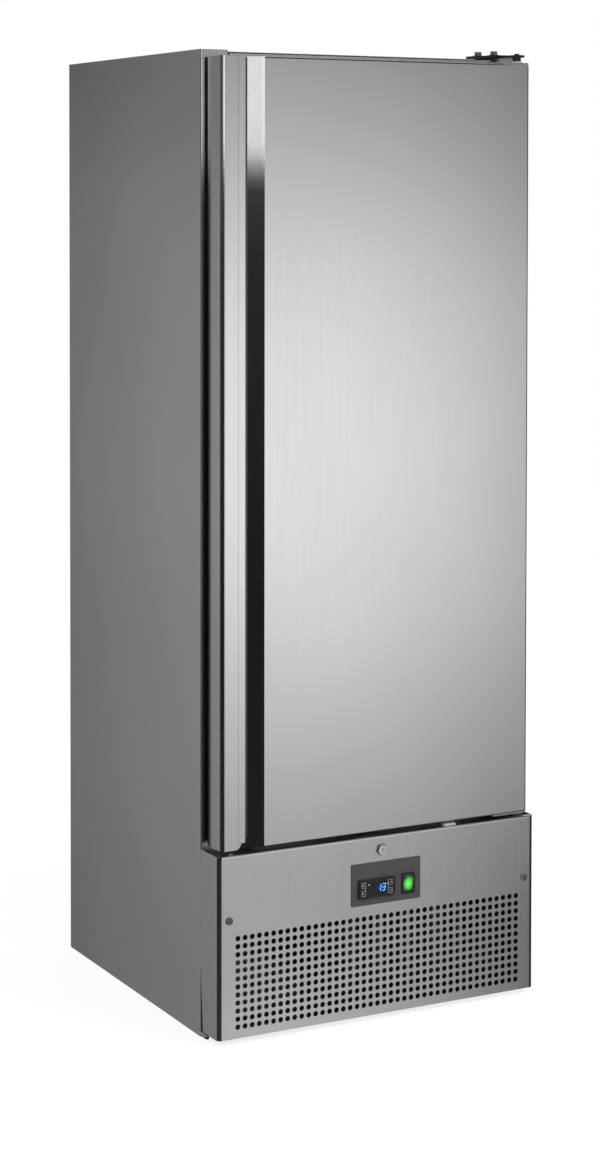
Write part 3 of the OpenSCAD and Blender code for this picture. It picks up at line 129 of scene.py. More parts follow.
def drive(tree, shader, values, bumps, tint=None, gloss=None):
    """Sets a shader from its patterns.

    values are the same all over. bumps are patterns with their depth in mm, each raised over the one before.
    tint and gloss are patterns with what they give where they are low and where they are high."""
    for socket, value in values.items():
        shader.inputs[socket].default_value = value
    normal = None
    for height, depth_mm in bumps:
        raised = node(tree, "ShaderNodeBump", {"Height": height, "Distance": depth_mm * MM, "Strength": 1.0})
        if normal is not None:
            tree.links.new(normal, raised.inputs["Normal"])
        normal = raised.outputs[0]
    tree.links.new(normal, shader.inputs["Normal"])
    if tint:
        factor, dark, light, *ends = tint
        low, high = ends or (LOW, HIGH)
        ramp = node(tree, "ShaderNodeValToRGB", {"Fac": factor}, stops=[(low, dark), (high, light)])
        tint = ramp.outputs[0]
        tree.links.new(tint, shader.inputs["Base Color"])
    if gloss:
        factor, smooth, dull = gloss
        span = node(tree, "ShaderNodeMapRange", {"Value": factor, "From Min": LOW, "From Max": HIGH,
                                                 "To Min": smooth, "To Max": dull})
        gloss = span.outputs[0]
        tree.links.new(gloss, shader.inputs["Roughness"])
    return tint, gloss


# Finishes

def ground_steel(name, dark, light, rough, wave_mm=0.25, shaded_crease_x_mm=None, shaded_edge_x_mm=None):
    """Stainless sheet ground with a belt: fine straight scratches, satin gloss, faintly wavy reflections."""
    material, tree, shader, place = new_finish(name)
    # Real scratches are about 0.2 mm wide, so they are drawn 1 mm wide to show at all
    grain = pattern(tree, place, (1.1, 1.1, 140.0), 3.0).outputs[0]
    cloud = pattern(tree, place, (260.0, 260.0, 340.0), 1.0).outputs[0]
    faint = node(tree, "ShaderNodeMath", {0: cloud, 1: 0.65}, operation="MULTIPLY").outputs[0]
    both = node(tree, "ShaderNodeMath", {0: grain, 1: 0.35, 2: faint}, operation="MULTIPLY_ADD").outputs[0]
    base, gloss = drive(tree, shader, {"Metallic": 1.0}, [(cloud, wave_mm), (grain, 0.002)],
                        (both, dark, light), (grain, rough - 0.02, rough + 0.03))
    if shaded_crease_x_mm is None:
        return material
    across = node(tree, "ShaderNodeSeparateXYZ", {0: place}).outputs[0]
    # A press line along the sheet's height: a narrow darker line of painted shade, standing in for the
    # groove's shade
    shaded_crease = node(tree, "ShaderNodeMath", {0: across, 1: shaded_crease_x_mm * MM, 2: 0.7 * MM}, operation="COMPARE")
    base = node(tree, "ShaderNodeMix", {"Factor": shaded_crease.outputs[0], 6: base, 7: colour("#B4B4B3")},
                data_type="RGBA").outputs[2]
    # The sheet's folded edge: a painted dark reflection makes it darker than the face, and it is duller
    shaded_edge = node(tree, "ShaderNodeMath", {0: across, 1: shaded_edge_x_mm * MM}, operation="GREATER_THAN").outputs[0]
    base = node(tree, "ShaderNodeMix", {"Factor": shaded_edge, 6: base, 7: colour("#7A7A79")},
                data_type="RGBA").outputs[2]
    gloss = node(tree, "ShaderNodeMix", {"Factor": shaded_edge, 2: gloss, 3: 0.42}, data_type="FLOAT").outputs[0]
    tree.links.new(base, shader.inputs["Base Color"])
    tree.links.new(gloss, shader.inputs["Roughness"])
    return material


def bright_steel(name, dark, light, rough):
    """Polished or chromed steel: clear reflections that bend a little where the sheet is pressed."""
    material, tree, shader, place = new_finish(name)
    cloud = pattern(tree, place, (60.0, 60.0, 180.0), 1.0).outputs[0]
    haze = pattern(tree, place, (6.0, 6.0, 25.0), 3.0).outputs[0]
    drive(tree, shader, {"Metallic": 1.0}, [(cloud, 0.05)], (haze, dark, light), (haze, rough, rough + 0.04))
    return material


def galvanised_sheet(name):
    """Hot-dip galvanised sheet: angular zinc crystals, each with its own grey, and a dull gloss."""
    material, tree, shader, place = new_finish(name)
    crystals = pattern(tree, place, (14.0, 14.0, 14.0), kind="ShaderNodeTexVoronoi")
    grey = node(tree, "ShaderNodeSeparateColor", {"Color": crystals.outputs["Color"]}).outputs[0]
    drive(tree, shader, {"Metallic": 0.85}, [(crystals.outputs["Distance"], 0.02)],
          (grey, "#A0A6A9", "#C2C7C9", 0.1, 0.9), (grey, 0.36, 0.5))
    return material


def moulded_plastic(name, dark, light, rough, grain_mm=0.9, depth_mm=0.02):
    """Injection-moulded plastic: an even colour with a fine eroded grain."""
    material, tree, shader, place = new_finish(name)
    grain = pattern(tree, place, (grain_mm,) * 3, 4.0).outputs[0]
    tint = pattern(tree, place, (45.0,) * 3, 2.0).outputs[0]
    drive(tree, shader, {"IOR": 1.53}, [(grain, depth_mm)],
          (tint, dark, light), (grain, rough - 0.04, rough + 0.06))
    return material


def stove_paint(name, dark, light, rough):
    """Baked enamel on steel: smooth and half glossy, with the faint orange peel of a sprayed coat."""
    material, tree, shader, place = new_finish(name)
    peel = pattern(tree, place, (2.2,) * 3, 1.0).outputs[0]
    tint = pattern(tree, place, (70.0,) * 3, 2.0).outputs[0]
    drive(tree, shader, {"IOR": 1.5, "Coat Weight": 0.2}, [(peel, 0.03)],
          (tint, dark, light), (tint, rough - 0.03, rough + 0.05))
    return material


def soft_rubber(name):
    """Extruded rubber: matt and dark, with flow lines along its length and a little bloom."""
    material, tree, shader, place = new_finish(name)
    lines = pattern(tree, place, (1.5, 1.5, 60.0), 2.0).outputs[0]
    bloom = pattern(tree, place, (30.0,) * 3, 3.0).outputs[0]
    drive(tree, shader, {}, [(lines, 0.05)], (bloom, "#26282A", "#36393B"), (lines, 0.6, 0.78))
    return material


def blown_foam(name):
    """Rigid polyurethane foam: a straw-coloured skin over small closed cells."""
    material, tree, shader, place = new_finish(name)
    cells = pattern(tree, place, (2.5,) * 3, kind="ShaderNodeTexVoronoi").outputs["Distance"]
    stain = pattern(tree, place, (90.0,) * 3, 3.0).outputs[0]
    drive(tree, shader, {"Roughness": 0.85}, [(cells, 0.4)], (stain, "#D9C68A", "#EBDDAE"))
    return material


def drawn_copper(name):
    """Drawn copper tube: warm and bright, with patches of brown oxide from brazing."""
    material, tree, shader, place = new_finish(name)
    oxide = pattern(tree, place, (35.0,) * 3, 4.0).outputs[0]
    draw = pattern(tree, place, (1.0, 1.0, 25.0), 2.0).outputs[0]
    drive(tree, shader, {"Metallic": 1.0}, [(draw, 0.01)],
          (oxide, "#8A4B2E", "#D08A66", 0.35, 0.6), (draw, 0.24, 0.38))
    return material


def rolled_aluminium(name):
    """Thin rolled aluminium: pale, half dull, with rolling lines."""
    material, tree, shader, place = new_finish(name)
    lines = pattern(tree, place, (80.0, 1.2, 60.0), 2.0).outputs[0]
    drive(tree, shader, {"Metallic": 1.0}, [(lines, 0.01)], (lines, "#C2C6C9", "#DADDDF"), (lines, 0.3, 0.42))
    return material


def lit_lens(name, stops, centre, reach_mm, strength):
    """Clear coloured plastic lit from behind: brightest over the lamp, darker towards its edges."""
    material, tree, shader, place = new_finish(name)
    # A TEXTURE mapping takes the place off first, and its scale divides
    local = node(tree, "ShaderNodeMapping", vector_type="TEXTURE",
                 inputs={"Vector": place, "Location": centre, "Scale": [reach * MM for reach in reach_mm]})
    far = node(tree, "ShaderNodeVectorMath", {0: local.outputs[0]}, operation="LENGTH").outputs["Value"]
    glow = node(tree, "ShaderNodeValToRGB", {"Fac": far}, stops=stops)
    tree.links.new(glow.outputs[0], shader.inputs["Base Color"])
    tree.links.new(glow.outputs[0], shader.inputs["Emission Color"])
    dust = pattern(tree, place, (0.7,) * 3, 2.0).outputs[0]
    drive(tree, shader, {"Emission Strength": strength, "Roughness": 0.22, "IOR": 1.49}, [(dust, 0.01)])
    return material


def printed_ink(name, dark, light):
    """Screen-printed ink: a thin even film with slightly soft edges and pinholes."""
    material, tree, shader, place = new_finish(name)
    film = pattern(tree, place, (0.4,) * 3, 2.0).outputs[0]
    drive(tree, shader, {"Roughness": 0.5}, [(film, 0.005)], (film, dark, light))
    return material


FINISHES = {
    "satin_stainless_sheet": ground_steel("satin_stainless_sheet", "#D5D5D4", "#DADAD9", 0.2),
    "satin_stainless_strip": ground_steel("satin_stainless_strip", "#D5D5D4", "#DADAD9", 0.2,
                                          shaded_crease_x_mm=-294.0, shaded_edge_x_mm=-279.4),
    "satin_stainless_liner": ground_steel("satin_stainless_liner", "#CFD0D0", "#DDDEDE", 0.3, wave_mm=0.3),
    "polished_stainless": bright_steel("polished_stainless", "#DDDEDE", "#E6E7E7", 0.035),
    "chromed_wire": bright_steel("chromed_wire", "#D4D7D9", "#E8EAEB", 0.12),
    "nickel_plated_brass": bright_steel("nickel_plated_brass", "#DCDBD8", "#EAE9E6", 0.3),
    "galvanised_sheet": galvanised_sheet("galvanised_sheet"),
    "polyurethane_foam": blown_foam("polyurethane_foam"),
    "grey_abs": moulded_plastic("grey_abs", "#8B8F91", "#9B9FA1", 0.42),
    "plate_film_grey": moulded_plastic("plate_film_grey", "#545454", "#5A5A5A", 0.5, 1.4, 0.015),
    "black_gloss_abs": moulded_plastic("black_gloss_abs", "#1A1B1C", "#222324", 0.25, 1.6, 0.006),
    "key_silicone": moulded_plastic("key_silicone", "#232527", "#2C2E31", 0.46),
    "dark_polypropylene": moulded_plastic("dark_polypropylene", "#2B2D2F", "#35383A", 0.5),
    "pale_polyamide": moulded_plastic("pale_polyamide", "#D5D6D6", "#E4E5E5", 0.45),
    "black_stove_paint": stove_paint("black_stove_paint", "#17181A", "#232527", 0.34),
    "epdm_rubber": soft_rubber("epdm_rubber"),
    "copper_tube": drawn_copper("copper_tube"),
    "aluminium_fin": rolled_aluminium("aluminium_fin"),
    "oiled_screw_steel": stove_paint("oiled_screw_steel", "#5E6061", "#707273", 0.36),
    "light_grey_ink": printed_ink("light_grey_ink", "#C6C9CB", "#D8DADC"),
}
NODE_FINISHES = {
    "satin_stainless_sheet": "left_side_panel right_side_panel top_panel front_cover door_skin",
    "satin_stainless_strip": "handle_strip",
    "satin_stainless_liner": "inner_liner evaporator_housing shelf_uprights shelf_runners door_inner_panel",
    "polished_stainless": "handle_trough",
    "chromed_wire": "shelf_1 shelf_2 shelf_3 shelf_4",
    "nickel_plated_brass": "lock_barrel lock_plug",
    "galvanised_sheet": "back_panel bay_ceiling cover_brackets condenser_shroud rear_guard "
                        "door_hinge_plates strike_plate",
    "polyurethane_foam": "insulation_foam door_foam",
    "grey_abs": "breaker_frame handle_caps electrical_box",
    "plate_film_grey": "control_plate",
    "black_gloss_abs": "thermostat_case rocker_frame",
    "key_silicone": "key_set key_light key_up key_down",
    "dark_polypropylene": "evaporation_tray mains_inlet condenser_fan evaporator_fan",
    "pale_polyamide": "drain_tube door_bushes",
    # Black paint, which such parts can have, here also stands as painted shade: the base pan and the
    # condenser coil darken the bay seen through the cover's holes
    "black_stove_paint": "condenser_coil compressor condenser_fan_motor evaporator_fan_motor "
                         "top_hinge_bracket bottom_hinge_bracket base_pan",
    "epdm_rubber": "door_gasket compressor_grommets wall_spacers",
    "copper_tube": "evaporator_coil refrigerant_pipes",
    "aluminium_fin": "condenser_fins evaporator_fins",
    "oiled_screw_steel": "cover_screws top_hinge_bolts",
}


def centre_of(name):
    low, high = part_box(name)
    return (low + high) / 2


FINISHES["lit_green_lens"] = lit_lens(
    "lit_green_lens", [(0.0, "#70F258"), (0.5, "#50C246"), (0.8, "#357238"), (1.0, "#223A26")],
    centre_of("rocker"), (12.5, 20.0, 16.5), 0.85)
FINISHES["blue_segment"] = lit_lens(
    "blue_segment", [(0.0, "#8CD0FF"), (1.0, "#58A8FF")],
    centre_of("thermostat_case"), (60.0, 60.0, 30.0), 1.5)
DISPLAY_CENTRE = centre_of("thermostat_case") + Vector((10.0 * MM, 0, 0))
FINISHES["display_window"] = lit_lens(
    "display_window", [(0.0, "#0E4CB0"), (0.55, "#0E3074"), (1.0, "#0F1113")],
    DISPLAY_CENTRE, (11.0, 80.0, 10.0), 0.6)
NODE_FINISHES["lit_green_lens"] = "rocker"


def finish_nodes():
    for finish, names in NODE_FINISHES.items():
        for name in names.split():
            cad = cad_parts[name]
            cad.data.materials.clear()
            cad.data.materials.append(FINISHES[finish])
    bare = set(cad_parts) - set(" ".join(NODE_FINISHES.values()).split())
    assert not bare, bare


finish_nodes()


# Pieces

def mesh_from(name, shape):
    mesh = bpy.data.meshes.new(name)
    shape.to_mesh(mesh)
    shape.free()
    return mesh


def piece(name, mesh_maker, finish, body, smooth=False):
    """Makes one piece from a function that fills a bmesh, and sets it on its CAD body."""
    shape = bmesh.new()
    mesh_maker(shape)
    bmesh.ops.remove_doubles(shape, verts=shape.verts, dist=0.00001)
    bmesh.ops.recalc_face_normals(shape, faces=shape.faces)
    mesh = mesh_from(name, shape)
    mesh.materials.append(FINISHES[finish])
    for face in mesh.polygons:
        face.use_smooth = smooth
    made = bpy.data.objects.new(name, mesh)
    bpy.context.scene.collection.objects.link(made)
    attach(made, body)


def round_outline(width, height, radius, steps=5):
    """Points round a rectangle with round corners, in X and Z about the origin."""
    points = []
    for turn, (sx, sz) in enumerate([(1, 1), (-1, 1), (-1, -1), (1, -1)]):
        for i in range(steps + 1):
            angle = math.radians(90 * turn + 90 * i / steps)
            points.append((sx * (width / 2 - radius) + radius * math.cos(angle),
                           sz * (height / 2 - radius) + radius * math.sin(angle)))
    return points


def skin(shape, rings):
    """Joins each ring of points to the next one with faces."""
    for one, other in zip(rings, rings[1:]):
        for i in range(len(one)):
            j = (i + 1) % len(one)
            shape.faces.new((one[i], one[j], other[j], other[i]))


def caps(shape, rings):
    """Closes the first and the last ring."""
    shape.faces.new(rings[0])
    shape.faces.new(list(reversed(rings[-1])))


def slab(shape, outline, at, front, back, chamfer=0.0):
    """A flat plate between two depths, its outline in X and Z about a place, its front edge chamfered."""
    middle_x = sum(p[0] for p in outline) / len(outline)
    middle_z = sum(p[1] for p in outline) / len(outline)

    def ring(depth, draw_in):
        made = []
        for x, z in outline:
            reach = math.hypot(x - middle_x, z - middle_z) or 1.0
            keep = 1 - draw_in / reach
            made.append(shape.verts.new((at[0] + middle_x + (x - middle_x) * keep, depth,
                                         at[1] + middle_z + (z - middle_z) * keep)))
        return made

    rings = [ring(back, 0.0), ring(front + chamfer, 0.0)]
    if chamfer:
        rings.append(ring(front, chamfer))
    skin(shape, rings)
    caps(shape, rings)


def bar_outline(start, end, width):
    """A bar with pointed ends between two points, as one segment of a number display."""
    a, b = Vector(start), Vector(end)
    along = (b - a).normalized()
    side = Vector((-along.y, along.x)) * width / 2
    tip = along * width / 2
    return [tuple(p) for p in (a, a + tip + side, b - tip + side, b, b - tip - side, a + tip - side)]


# Thermostat: window, number display, key marks

case_low, case_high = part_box("thermostat_case")
case_x = (case_low.x + case_high.x) / 2
case_z = (case_low.z + case_high.z) / 2
case_w = case_high.x - case_low.x
case_front = case_low.y
WINDOW = (45 * MM, 27 * MM)
WINDOW_SHIFT = -1.5 * MM
LENS_T = 0.35 * MM
PRINT_T = 0.12 * MM
# The rim's section as insets and rises, in mm
RIM_CORNER = 3.0
RIM_SECTION = ((0.0, 0.0), (0.15, 0.45), (0.6, 0.7), (1.5, 0.7), (1.9, 0.35), (2.0, -0.3), (0.0, -0.3))
MARK_TICK_MM = 4.6
BRACKET_REACH = 6.6 * MM
MARK_STROKE = 1.0 * MM
THIN_STROKE = 0.7 * MM
TICK_STROKE = 0.6 * MM


def window(shape):
    slab(shape, round_outline(*WINDOW, 1.5 * MM), (case_x + WINDOW_SHIFT, case_z), case_front - LENS_T,
         case_front + 0.5 * MM, 0.25 * MM)


def rim(shape):
    """A thin rounded rim along the edge of the thermostat's front."""
    rings = []
    for inset, rise in RIM_SECTION:
        width = case_w - 2 * inset * MM
        height = case_high.z - case_low.z - 2 * inset * MM
        outline = round_outline(width, height, (RIM_CORNER - inset) * MM)
        rings.append([shape.verts.new((case_x + x, case_front - rise * MM, case_z + z)) for x, z in outline])
    skin(shape, rings + rings[:1])


# Ends of each segment, in widths and half heights of a digit
SEGMENTS = {"a": ((0, 2), (1, 2)), "b": ((1, 1), (1, 2)), "c": ((1, 0), (1, 1)), "d": ((0, 0), (1, 0)),
            "g": ((0, 1), (1, 1))}
# The segments that are lit in a one and in a three
DIGITS = ("bc", "abcdg")
DIGIT_W, DIGIT_H, DIGIT_PITCH = 6.2 * MM, 12.5 * MM, 9.4 * MM
DIGIT_SLANT = 0.14
NUMBER_X = 6.5 * MM
DEGREE_X = 22.4 * MM
LAMP_PLACE = (-16.6 * MM, 7.2 * MM)
STROKE = 0.95 * MM


def number(shape):
    """A slanted two-digit number with a small degree square beside it, and the running lamp."""
    front = case_front - LENS_T - PRINT_T
    for place, lit in enumerate(DIGITS):
        left = case_x + NUMBER_X + (place - 0.5) * DIGIT_PITCH
        for key in lit:
            ends = []
            for u, v in SEGMENTS[key]:
                z = (v - 1) * DIGIT_H / 2
                ends.append((left + u * DIGIT_W + z * DIGIT_SLANT, z))
            slab(shape, bar_outline(*ends, STROKE), (0, case_z), front, front + PRINT_T)
    degree = (case_x + DEGREE_X, case_z + DIGIT_H / 2)
    slab(shape, round_outline(1.8 * MM, 1.8 * MM, 0.5 * MM, 2), degree, front, front + PRINT_T)
    lamp = (case_x + LAMP_PLACE[0], case_z + LAMP_PLACE[1])
    slab(shape, round_outline(2.4 * MM, 1.9 * MM, 0.9 * MM, 3), lamp, front, front + PRINT_T)


def line(shape, start, end, width, front, back):
    """A straight stroke with square ends."""
    a, b = Vector(start), Vector(end)
    along = (b - a).normalized()
    side = Vector((-along.y, along.x)) * width / 2
    tip = along * width / 2
    corners = (a - tip + side, b + tip + side, b + tip - side, a - tip - side)
    slab(shape, [tuple(corner) for corner in corners], (0, 0), front, back)


def brackets(shape):
    """Thin printed lines that join each pair of keys; the ticks that end on them are printed on the keys."""
    front = case_front - LENS_T - PRINT_T
    for key_x, inner in ((centre_of("key_set").x, 1), (centre_of("key_up").x, -1)):
        x = key_x + inner * BRACKET_REACH
        upper = centre_of("key_set").z + MARK_TICK_MM * MM
        lower = centre_of("key_light").z - MARK_TICK_MM * MM
        line(shape, (x, lower), (x, upper), THIN_STROKE, front, case_front + 0.2 * MM)


def key_mark(name):
    """A plain mark on a key: an arrow on the two right keys, a square and a lamp on the left ones."""
    def fill(shape):
        low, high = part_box(name)
        x, z = (low.x + high.x) / 2, (low.z + high.z) / 2
        front, back = low.y - PRINT_T, low.y + 0.05 * MM
        inner = 1 if name in ("key_set", "key_light") else -1

        def stroke(start, end, width):
            a, b = ((x + u * MM, z + v * MM) for u, v in (start, end))
            line(shape, a, b, width, front, back)

        for rise in (-MARK_TICK_MM, MARK_TICK_MM):
            stroke((-inner * 2.5, rise), (inner * 5.0, rise), TICK_STROKE)
        if name in ("key_up", "key_down"):
            way = 1 if name == "key_up" else -1
            for side in (-1, 1):
                stroke((side * 2.3, -way * 1.2), (0, way * 1.3), MARK_STROKE)
        elif name == "key_set":
            for start, end in (((-2.2, -1.5), (2.2, -1.5)), ((-2.2, 1.5), (2.2, 1.5)),
                               ((-2.2, -1.5), (-2.2, 1.5))):
                stroke(start, end, MARK_STROKE)
        else:
            slab(shape, round_outline(3.2 * MM, 3.2 * MM, 1.5 * MM, 4), (x, z + 0.7 * MM), front, back)
            stroke((-0.8, -2.1), (0.8, -2.1), THIN_STROKE)
    return fill


piece("thermostat_window", window, "display_window", "cabinet")
piece("thermostat_rim", rim, "black_gloss_abs", "cabinet", smooth=True)
piece("display_number", number, "blue_segment", "cabinet")
piece("key_brackets", brackets, "light_grey_ink", "cabinet")
for key in ("key_set", "key_light", "key_up", "key_down"):
    piece(key + "_mark", key_mark(key), "light_grey_ink", key + "_body")


# Pad in the gap under the door, on the cover's upper flange
PAD_X = (145 * MM, 170 * MM)
PAD_D = 14 * MM
PAD_T = 2 * MM


def pad(shape):
    """A flat moulded pad with round corners."""
    flange_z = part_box("front_cover")[1].z
    middle = (sum(PAD_X) / 2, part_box("door_skin")[0].y + PAD_D / 2)
    outline = round_outline(PAD_X[1] - PAD_X[0], PAD_D, 2 * MM, 4)
    rings = []
    for rise, inset in ((0.0, 0.0), (PAD_T - 0.5 * MM, 0.0), (PAD_T, 0.5 * MM)):
        keep_x = 1 - inset / (PAD_X[1] - PAD_X[0])
        keep_y = 1 - inset / PAD_D
        rings.append([shape.verts.new((middle[0] + x * keep_x, middle[1] + y * keep_y, flange_z + rise))
                      for x, y in outline])
    skin(shape, rings)
    caps(shape, rings)


piece("flange_pad", pad, "pale_polyamide", "cabinet")


# Screws and rivets, set on their places by one node tree

def turned(shape, profile_mm, sides):
    """A closed body turned about Z from a profile of radii and heights that ends on the axis."""
    rings = []
    for radius, height in profile_mm:
        if radius == 0:
            rings.append([shape.verts.new((0, 0, height * MM))])
        else:
            rings.append([shape.verts.new((radius * MM * math.cos(2 * math.pi * i / sides),
                                           radius * MM * math.sin(2 * math.pi * i / sides), height * MM))
                          for i in range(sides)])
    for one, other in zip(rings, rings[1:]):
        for i in range(sides):
            j = (i + 1) % sides
            corners = [one[i % len(one)], one[j % len(one)], other[j % len(other)], other[i % len(other)]]
            shape.faces.new(list(dict.fromkeys(corners)))


def rivet_head(shape):
    """A low dome with the sunk middle that a pulled rivet leaves."""
    turned(shape, [(0, 0.4), (1.0, 0.4), (1.3, 1.2), (2.4, 1.25), (3.8, 0.75), (4.3, 0.25), (4.3, -0.3),
                   (0, -0.3)], 20)


def screw_head(shape):
    """A hexagon head on its flange."""
    turned(shape, [(0, 1.0), (5.2, 0.9), (5.6, 0.5), (5.6, -0.3), (0, -0.3)], 20)
    turned(shape, [(0, 4.6), (3.3, 4.6), (4.0, 4.2), (4.0, 0.6), (0, 0.6)], 6)


def fastener_tree():
    """Sets one head on every point of a mesh, faced by the point's own direction and spun by chance."""
    tree = bpy.data.node_groups.new("set_fasteners", "GeometryNodeTree")
    for name, kind in (("Points", "NodeSocketGeometry"), ("Head", "NodeSocketObject"),
                       ("Finish", "NodeSocketMaterial"), ("Seed", "NodeSocketInt")):
        tree.interface.new_socket(name, in_out="INPUT", socket_type=kind)
    tree.interface.new_socket("Heads", in_out="OUTPUT", socket_type="NodeSocketGeometry")
    given = node(tree, "NodeGroupInput").outputs
    head = node(tree, "GeometryNodeObjectInfo", {"Object": given["Head"]}).outputs["Geometry"]
    way = node(tree, "GeometryNodeInputNamedAttribute", {"Name": "facing"}, data_type="FLOAT_VECTOR")
    faced = node(tree, "FunctionNodeAlignRotationToVector", {"Vector": way.outputs[0]}, axis="Z").outputs[0]
    chance = node(tree, "FunctionNodeRandomValue", {2: 0.0, 3: 2 * math.pi, "Seed": given["Seed"]},
                  data_type="FLOAT").outputs[1]
    spin = node(tree, "FunctionNodeAxisAngleToRotation", {"Axis": (0, 0, 1), "Angle": chance}).outputs[0]
    turn = node(tree, "FunctionNodeRotateRotation", {0: faced, 1: spin}, rotation_space="LOCAL").outputs[0]
    spread = node(tree, "GeometryNodeInstanceOnPoints",
                  {"Points": given["Points"], "Instance": head, "Rotation": turn})
    real = node(tree, "GeometryNodeRealizeInstances", {0: spread.outputs[0]}).outputs[0]
    finished = node(tree, "GeometryNodeSetMaterial", {"Geometry": real, "Material": given["Finish"]})
    node(tree, "NodeGroupOutput", {0: finished.outputs[0]})
    return tree


FASTENERS = fastener_tree()


def fasteners(name, head_maker, finish, body, places, seed):
    """One mesh of equal heads. places holds each head's point and the direction it faces."""
    shape = bmesh.new()
    head_maker(shape)
    bmesh.ops.recalc_face_normals(shape, faces=shape.faces)
    head = bpy.data.objects.new(name + "_head", mesh_from(name + "_head", shape))
    points = bpy.data.meshes.new(name)
    points.from_pydata([tuple(point) for point, _ in places], [], [])
    points.attributes.new("facing", "FLOAT_VECTOR", "POINT").data.foreach_set(
        "vector", [value for _, way in places for value in way])
    made = bpy.data.objects.new(name, points)
    bpy.context.scene.collection.objects.link(made)
    modifier = made.modifiers.new("fasteners", "NODES")
    modifier.node_group = FASTENERS
    given = {"Head": head, "Finish": FINISHES[finish], "Seed": seed}
    for socket in FASTENERS.interface.items_tree:
        if socket.name in given:
            modifier[socket.identifier] = given[socket.name]
    made.update_tag()
    result = bpy.data.meshes.new_from_object(made.evaluated_get(bpy.context.evaluated_depsgraph_get()))
    made.modifiers.clear()
    made.data = result
    bpy.data.objects.remove(head)
    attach(made, body)


def spaced(first, last, count):
    return [first + (last - first) * i / (count - 1) for i in range(count)]


def guard_places():
    low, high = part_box("rear_guard")
    return [((x, high.y, z), (0, 1, 0)) for x in spaced(low.x + 12 * MM, high.x - 12 * MM, 6)
            for z in (low.z + 12 * MM, high.z - 9 * MM)]


def back_places():
    low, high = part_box("back_panel")
    sides = [((x, high.y, z), (0, 1, 0)) for x in (low.x + 9 * MM, high.x - 9 * MM)
             for z in spaced(low.z + 25 * MM, high.z - 12 * MM, 10)]
    top = [((x, high.y, high.z - 12 * MM), (0, 1, 0)) for x in spaced(low.x + 115 * MM, high.x - 115 * MM, 4)]
    return sides + top


def box_places():
    low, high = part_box("electrical_box")
    inset = 7 * MM
    return [((high.x, y, z), (1, 0, 0)) for y in (low.y + inset, high.y - inset)
            for z in (low.z + inset, high.z - inset)]


def housing_places():
    low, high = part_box("evaporator_housing")
    middle = centre_of("evaporator_fan")
    reach = 74 * MM / math.sqrt(2)
    ring = [((middle.x + sx * reach, low.y, middle.z + sz * reach), (0, -1, 0))
            for sx in (-1, 1) for sz in (-1, 1)]
    return ring + [((x, low.y, z), (0, -1, 0)) for x in spaced(low.x + 14 * MM, high.x - 14 * MM, 4)
                   for z in (low.z + 12 * MM, high.z - 12 * MM)]


def upright_places():
    low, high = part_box("shelf_uprights")
    sheet = 1.5 * MM
    half = 10 * MM
    return [((x, y, low.z + rise * MM), (way, 0, 0)) for x, way in ((low.x + sheet, 1), (high.x - sheet, -1))
            for y in (low.y + half, high.y - half) for rise in (45, 295, 545, 795, 1045)]


fasteners("guard_screws", screw_head, "oiled_screw_steel", "cabinet", guard_places(), 3)
fasteners("back_rivets", rivet_head, "oiled_screw_steel", "cabinet", back_places(), 5)
fasteners("box_screws", screw_head, "oiled_screw_steel", "cabinet", box_places(), 7)
fasteners("housing_rivets", rivet_head, "chromed_wire", "cabinet",
          housing_places(), 11)
fasteners("upright_rivets", rivet_head, "chromed_wire", "cabinet",
          upright_places(), 13)


# Sealant in the joints between the side panels and the top panel

def rail_seals(shape):
    """A short dark bead at each end of the top rail."""
    low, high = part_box("top_panel")
    half_w = abs(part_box("left_side_panel")[0].x)
    post = 55 * MM
    seal_w, seal_h = 3.0 * MM, 10.0 * MM
    outline = round_outline(seal_w, seal_h, 0.8 * MM, 3)
    for side in (-1, 1):
        place = (side * (half_w - post - seal_w / 2), high.z - seal_h / 2 - 0.3 * MM)
        slab(shape, outline, place, low.y - 0.5 * MM, low.y + 0.5 * MM, 0.4 * MM)


piece("rail_seals", rail_seals, "epdm_rubber", "cabinet")


# Black foam tape in the condenser bay, on the cabinet's front edges behind the cover

def block(shape, low, high):
    """A strip between two corners, with its edges rounded off."""
    middle = ((low[0] + high[0]) / 2, (low[2] + high[2]) / 2)
    outline = round_outline(high[0] - low[0], high[2] - low[2], 0.6 * MM, 3)
    slab(shape, outline, middle, low[1], high[1], 0.3 * MM)


def bay_tape(shape):
    """Tape on each front post above and below the cover's brackets, thicker behind the slanting cut."""
    half_w = abs(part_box("left_side_panel")[0].x)
    cover_low, cover_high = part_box("front_cover")
    bracket_low, bracket_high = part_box("cover_brackets")
    post = 53 * MM
    edge_y = cover_high.y
    sheet = 1.6 * MM
    front_y = edge_y - 1.2 * MM
    foot = 0.5 * MM
    for side in (-1, 1):
        inner, outer = sorted((side * (half_w - post), side * (half_w - sheet)))
        block(shape, (inner, front_y, foot), (outer, edge_y, bracket_low.z - 2 * MM))
        block(shape, (inner, front_y, bracket_high.z + 2 * MM), (outer, edge_y, cover_high.z - 3 * MM))
        inner, outer = sorted((side * (half_w - 8 * MM), side * (half_w - sheet)))
        block(shape, (inner, edge_y - 20 * MM, foot), (outer, edge_y - 1.0 * MM, cover_low.z + 140 * MM))


def bay_baffle(shape):
    """A black sheet that closes the bay's floor between the cover's foot and the base pan: painted shade in
    place of the dark floor under the cabinet.
    """
    cover_low, cover_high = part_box("front_cover")
    reach = abs(cover_low.x) - 9 * MM
    top = cover_low.z + 1.3 * MM
    block(shape, (-reach, cover_low.y + 13 * MM, top), (reach, cover_high.y - 1.5 * MM, top + 1.2 * MM))


piece("bay_tape", bay_tape, "epdm_rubber", "cabinet")
piece("bay_baffle", bay_baffle, "black_stove_paint", "cabinet")


# Studio

FLOOR_R = 6.0
FLOOR_GLOW = 0.8
SURROUND_R = 5.0
SURROUND_Z = (-3.2, 5.0)
RAMP_Z = (-2.5, 3.5)
ALL_ROUND = ((-180, 1.0), (180, 1.0))

